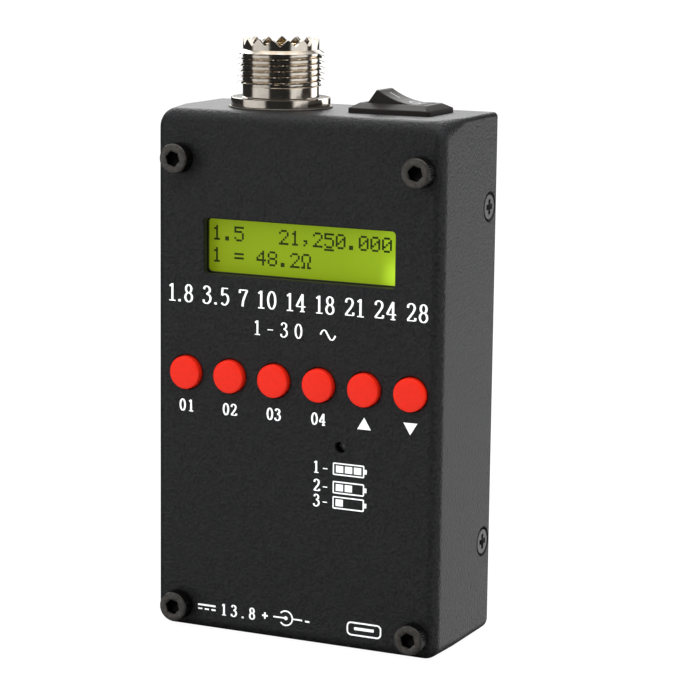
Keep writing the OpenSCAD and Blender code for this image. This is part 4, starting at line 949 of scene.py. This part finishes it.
SMALL, SMALL_PEN = 2.2 * MM, (0.17, 0.08)
number("1.8 3.5 7 10 14 18 21 24 28", -25.9 * MM, 26.2 * MM, 61.4 * MM, 3.3 * MM)
number("1-30 ~", -8.2 * MM, 8.5 * MM, 56.5 * MM, 2.7 * MM)
for i, cap in enumerate(caps[:4], 1):
    number(f"0{i}", cap.x - 1.5 * MM, cap.x + 1.45 * MM, 41.1 * MM, SMALL, *SMALL_PEN)

ARROW_Z, ARROW_HALF = 42.2, 1.35
for cap, way in ((caps[4], 1), (caps[5], -1)):
    x, foot = cap.x / MM, ARROW_Z - 1.05 * way
    filled([(x - ARROW_HALF, foot), (x + ARROW_HALF, foot), (x, ARROW_Z + 1.15 * way)][::way])

# Battery signs: their heights and how many bars each holds
CELL_LEFT, CELL_RIGHT, CELL_LOW, CELL_TOP = 8, 14, 0.1, 2.15
for row, (z, bars) in enumerate(((32.3, 3), (28.9, 2), (26.1, 1)), 1):
    number(f"{row}-", 4 * MM, 7 * MM, z * MM, 2.25 * MM, 0.16, 0.08)
    cell = [(CELL_LEFT, CELL_LOW), (CELL_RIGHT, CELL_LOW), (CELL_RIGHT, CELL_TOP), (CELL_LEFT, CELL_TOP)]
    cell.append(cell[0])
    drawn([cell[k:k + 2] for k in range(4)], 0.24, z)
    bar(14.12, z + 0.7, 14.6, z + 1.55)
    for k in range(bars):
        left = 8.5 + 1.78 * k
        bar(left, z + 0.5, left + 1.45, z + 1.75)

# The row at the bottom: direct current, its voltage, plus, the plug's poles, minus and the data socket
LOW_Z = 3.2
drawn([[(-19.6, 1.45), (-15.9, 1.45)]], 0.34, LOW_Z)
drawn([[(x, 0.7), (x + 0.9, 0.7)] for x in (-19.6, -18.2, -16.8)], 0.3, LOW_Z)
number("13.8", -14.7 * MM, -7.6 * MM, LOW_Z * MM, SMALL, *SMALL_PEN)
strokes(-6.4 * MM, LOW_Z * MM, 2.4 * MM, GLYPHS["+"][1], 0.14, 0.14)
SIGN_X, SIGN_Z, SIGN_R = -1.35, 4.35, 1.35
arc = [(SIGN_X + SIGN_R * cos(radians(a)), SIGN_Z + SIGN_R * sin(radians(a))) for a in range(-140, 141, 10)]
drawn([arc, [(-3.9, SIGN_Z), (SIGN_X, SIGN_Z)], [(SIGN_X + SIGN_R, SIGN_Z), (2.0, SIGN_Z)]], 0.28)
drawn([oval(SIGN_X, SIGN_Z, 0.18, 0.18, 10)], 0.4)
drawn([[(2.6, SIGN_Z - 0.1), (3.5, SIGN_Z - 0.1)]], 0.34)
PORT_X, PORT_Z = 14.45, 4.2
port = [(x + PORT_X, z + PORT_Z) for x, z in round_outline(6.6, 2.3, 0.7, 4)]
drawn([port + port[:1]], 0.3)
bar(12.5, 4.0, 16.4, 4.55)
points, faces = join_parts(*marks)
print_white = finish_colour("white_ink", (0.86, 0.87, 0.88), 0.5, spread=0.04, grain=(1200, 0.004))
piece("face_print", points, faces, print_white, sharp=20)


# Everything else keeps its CAD shape and gets its real finish: brass, tin, board lacquer, moulded
# plastics, foil, foam and wire.
lamp_black, foil, off_white = (0.07, 0.07, 0.066), (0.62, 0.64, 0.66), (0.8, 0.79, 0.74)
finishes = {
    "zinc_screw": finish_colour("zinc", (0.6, 0.61, 0.62), 0.3, metal=1, grain=(900, 0.004)),
    "brass": finish_colour("brass", (0.78, 0.56, 0.24), 0.26, metal=1, grain=(700, 0.004)),
    "circuit_board": finish_colour("board_lacquer", (0.012, 0.13, 0.05), 0.35, grain=(500, 0.01), coat=0.4),
    "display_glass": display_glow(),
    "light_guide": finish_colour("light_guide", (0.72, 0.78, 0.55), 0.3, grain=(400, 0.004)),
    "black_plastic": finish_colour("black_plastic", (0.02, 0.02, 0.021), 0.42, grain=(1500, 0.01)),
    "lamp_resin": finish_colour("lamp_resin", lamp_black, 0.2, grain=(600, 0.003), coat=0.5),
    "nickel": nickel,
    "white_plastic": finish_colour("white_plastic", off_white, 0.38, grain=(900, 0.006)),
    "cell_foil": finish_colour("cell_foil", foil, 0.33, metal=0.9, grain=(260, 0.03)),
    "foam": finish_colour("foam", (0.03, 0.03, 0.033), 0.9, grain=(2400, 0.12)),
    "wire": finish_colour("wire_red", (0.5, 0.02, 0.015), 0.4, grain=(800, 0.004)),
    "trimmer_blue": finish_colour("trimmer_blue", (0.01, 0.09, 0.42), 0.36, grain=(900, 0.006)),
    "case_paint": coat,
    "black_screw": black_oxide,
    "switch_plastic": satin_black,
    "red_plastic": red_plastic,
    "display_frame": tin_black
}
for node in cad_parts.values():
    for place in node.material_slots:
        place.material = finishes[place.material.name.split(".")[0]]


# Studio: a white floor that keeps a faint shadow, lamps above and beside, walls of light and dark with
# two soft cards that the finishes mirror, and the camera at the photograph's viewing angle.
def floor_white():
    material, nodes, links = new_material("floor_white")
    nodes.clear()
    out = nodes.new("ShaderNodeOutputMaterial")
    paper = nodes.new("ShaderNodeBsdfDiffuse")
    paper.inputs["Color"].default_value = (0.82, 0.82, 0.82, 1)
    glow = nodes.new("ShaderNodeEmission")
    glow.inputs["Strength"].default_value = 1.07
    both = nodes.new("ShaderNodeMixShader")
    both.inputs["Fac"].default_value = 0.9
    path = nodes.new("ShaderNodeLightPath")
    pick = nodes.new("ShaderNodeMixShader")
    links.new(path.outputs["Is Camera Ray"], pick.inputs["Fac"])
    links.new(paper.outputs["BSDF"], both.inputs[1])
    links.new(glow.outputs["Emission"], both.inputs[2])
    links.new(paper.outputs["BSDF"], pick.inputs[1])
    links.new(both.outputs["Shader"], pick.inputs[2])
    links.new(pick.outputs["Shader"], out.inputs["Surface"])
    return material


FLOOR_HALF, FLOOR_Z = 3, -0.0002
corners = [(x * FLOOR_HALF, y * FLOOR_HALF, FLOOR_Z) for x, y in ((-1, -1), (1, -1), (1, 1), (-1, 1))]
floor = linked("floor", new_mesh("floor", corners, [(0, 1, 2, 3)]))
floor.data.materials.append(floor_white())
floor.visible_glossy = False

world = bpy.data.worlds.new("studio")
bpy.context.scene.world = world
world.use_nodes = True
nodes, links = world.node_tree.nodes, world.node_tree.links
nodes.clear()
out = nodes.new("ShaderNodeOutputWorld")
room = nodes.new("ShaderNodeBackground")
white = nodes.new("ShaderNodeBackground")
white.inputs["Color"].default_value = (1, 1, 1, 1)
white.inputs["Strength"].default_value = 1.02
place = nodes.new("ShaderNodeTexCoord")
split = nodes.new("ShaderNodeSeparateXYZ")
links.new(place.outputs["Generated"], split.inputs["Vector"])
ahead_y = nodes.new("ShaderNodeMath")
ahead_y.operation = "MULTIPLY"
ahead_y.inputs[1].default_value = -1
links.new(split.outputs["Y"], ahead_y.inputs[0])
bearing = nodes.new("ShaderNodeMath")
bearing.operation = "ARCTAN2"
links.new(split.outputs["X"], bearing.inputs[0])
links.new(ahead_y.outputs["Value"], bearing.inputs[1])
share = mapped(nodes, links, bearing.outputs["Value"], -pi, pi)
walls = nodes.new("ShaderNodeValToRGB")
walls.color_ramp.interpolation = "EASE"
# Bearings in degrees from the front, right is positive, with the light seen there
BEARINGS = (
    (-180, 0.02), (-72, 0.015), (-64, 0.42), (-14, 0.36), (-6, 0.015), (52, 0.012), (62, 0.5), (108, 0.5),
    (118, 0.02), (180, 0.02)
)
set_stops(walls, [((at + 180) / 360, (light,) * 3) for at, light in BEARINGS])
links.new(share.outputs["Result"], walls.inputs["Fac"])
height = mapped(nodes, links, split.outputs["Z"], -1, 1)


def by_height(stops):
    """Light that depends on the height looked at, from -1 straight down to 1 straight up."""
    ramp = nodes.new("ShaderNodeValToRGB")
    ramp.color_ramp.interpolation = "EASE"
    set_stops(ramp, [((at + 1) / 2, (light,) * 3) for at, light in stops])
    links.new(height.outputs["Result"], ramp.inputs["Fac"])
    return ramp


lift = by_height(((-1, 0.05), (-0.46, 0.06), (-0.3, 1.4), (0.0, 1.8), (0.1, 1.6), (0.3, 0.4), (1, 0.05)))
links.new(walls.outputs["Color"], room.inputs["Color"])
links.new(lift.outputs["Color"], room.inputs["Strength"])
ceiling = nodes.new("ShaderNodeBackground")
top_light = by_height(((0.3, 0), (0.55, 0.25), (0.7, 0.7), (0.85, 1.8), (1, 1.8)))
links.new(top_light.outputs["Color"], ceiling.inputs["Strength"])
studio = nodes.new("ShaderNodeAddShader")
links.new(room.outputs["Background"], studio.inputs[0])
links.new(ceiling.outputs["Background"], studio.inputs[1])


def card(studio, side, up, near, far, light):
    """A soft round light at a bearing and a height in degrees, fading from near to far off its middle."""
    dot = nodes.new("ShaderNodeVectorMath")
    dot.operation = "DOT_PRODUCT"
    side, up = radians(side), radians(up)
    dot.inputs[1].default_value = (sin(side) * cos(up), -cos(side) * cos(up), sin(up))
    links.new(place.outputs["Generated"], dot.inputs[0])
    fade = mapped(nodes, links, dot.outputs["Value"], cos(radians(far)), cos(radians(near)), 0, light)
    fade.interpolation_type = "SMOOTHSTEP"
    sheet = nodes.new("ShaderNodeBackground")
    links.new(fade.outputs["Result"], sheet.inputs["Strength"])
    both = nodes.new("ShaderNodeAddShader")
    links.new(studio.outputs["Shader"], both.inputs[0])
    links.new(sheet.outputs["Background"], both.inputs[1])
    return both


studio = card(studio, 151, -13, 10, 24, 2.65)
studio = card(studio, -148, 28, 13, 25, 5)
path = nodes.new("ShaderNodeLightPath")
pick = nodes.new("ShaderNodeMixShader")
links.new(path.outputs["Is Camera Ray"], pick.inputs["Fac"])
links.new(studio.outputs["Shader"], pick.inputs[1])
links.new(white.outputs["Background"], pick.inputs[2])
links.new(pick.outputs["Shader"], out.inputs["Surface"])


def soft_lamp(name, place, size, power, aim=(0, 0, 0.05)):
    """A rectangular lamp turned to the part, left out of reflections."""
    lamp = bpy.data.lights.new(name, "AREA")
    lamp.shape, lamp.size, lamp.size_y, lamp.energy = "RECTANGLE", size[0], size[1], power
    made = linked(name, lamp)
    made.location = place
    made.rotation_euler = (Vector(aim) - Vector(place)).to_track_quat("-Z", "Y").to_euler()
    made.visible_glossy = False


soft_lamp("top_lamp", (0.1, -0.15, 0.9), (0.8, 0.8), 7)
soft_lamp("left_lamp", (-0.6, -0.9, 0.5), (0.5, 0.8), 9)
soft_lamp("right_lamp", (0.95, 0.1, 0.4), (0.5, 0.8), 5)

CAMERA_AT = Vector((205.15, -425.56, 136.91)) * MM
CAMERA_AIM = Vector((9.012, -12.253, 56.976)) * MM
CAMERA_ROLL = radians(0.652)
eye = bpy.data.cameras.new("camera")
eye.sensor_width, eye.lens = 36, 138.08
eye.clip_start, eye.clip_end = 0.01, 20
camera = linked("camera", eye)
ahead = (CAMERA_AIM - CAMERA_AT).normalized()
right = ahead.cross(Vector((0, 0, 1))).normalized()
up = right.cross(ahead)
roll_cos, roll_sin = cos(CAMERA_ROLL), sin(CAMERA_ROLL)
level_x, level_y = roll_cos * right + roll_sin * up, roll_cos * up - roll_sin * right
camera.matrix_world = Matrix((
    (level_x.x, level_y.x, -ahead.x, CAMERA_AT.x), (level_x.y, level_y.y, -ahead.y, CAMERA_AT.y),
    (level_x.z, level_y.z, -ahead.z, CAMERA_AT.z), (0, 0, 0, 1)
))
bpy.context.scene.camera = camera
bpy.context.scene.view_settings.view_transform = "Standard"
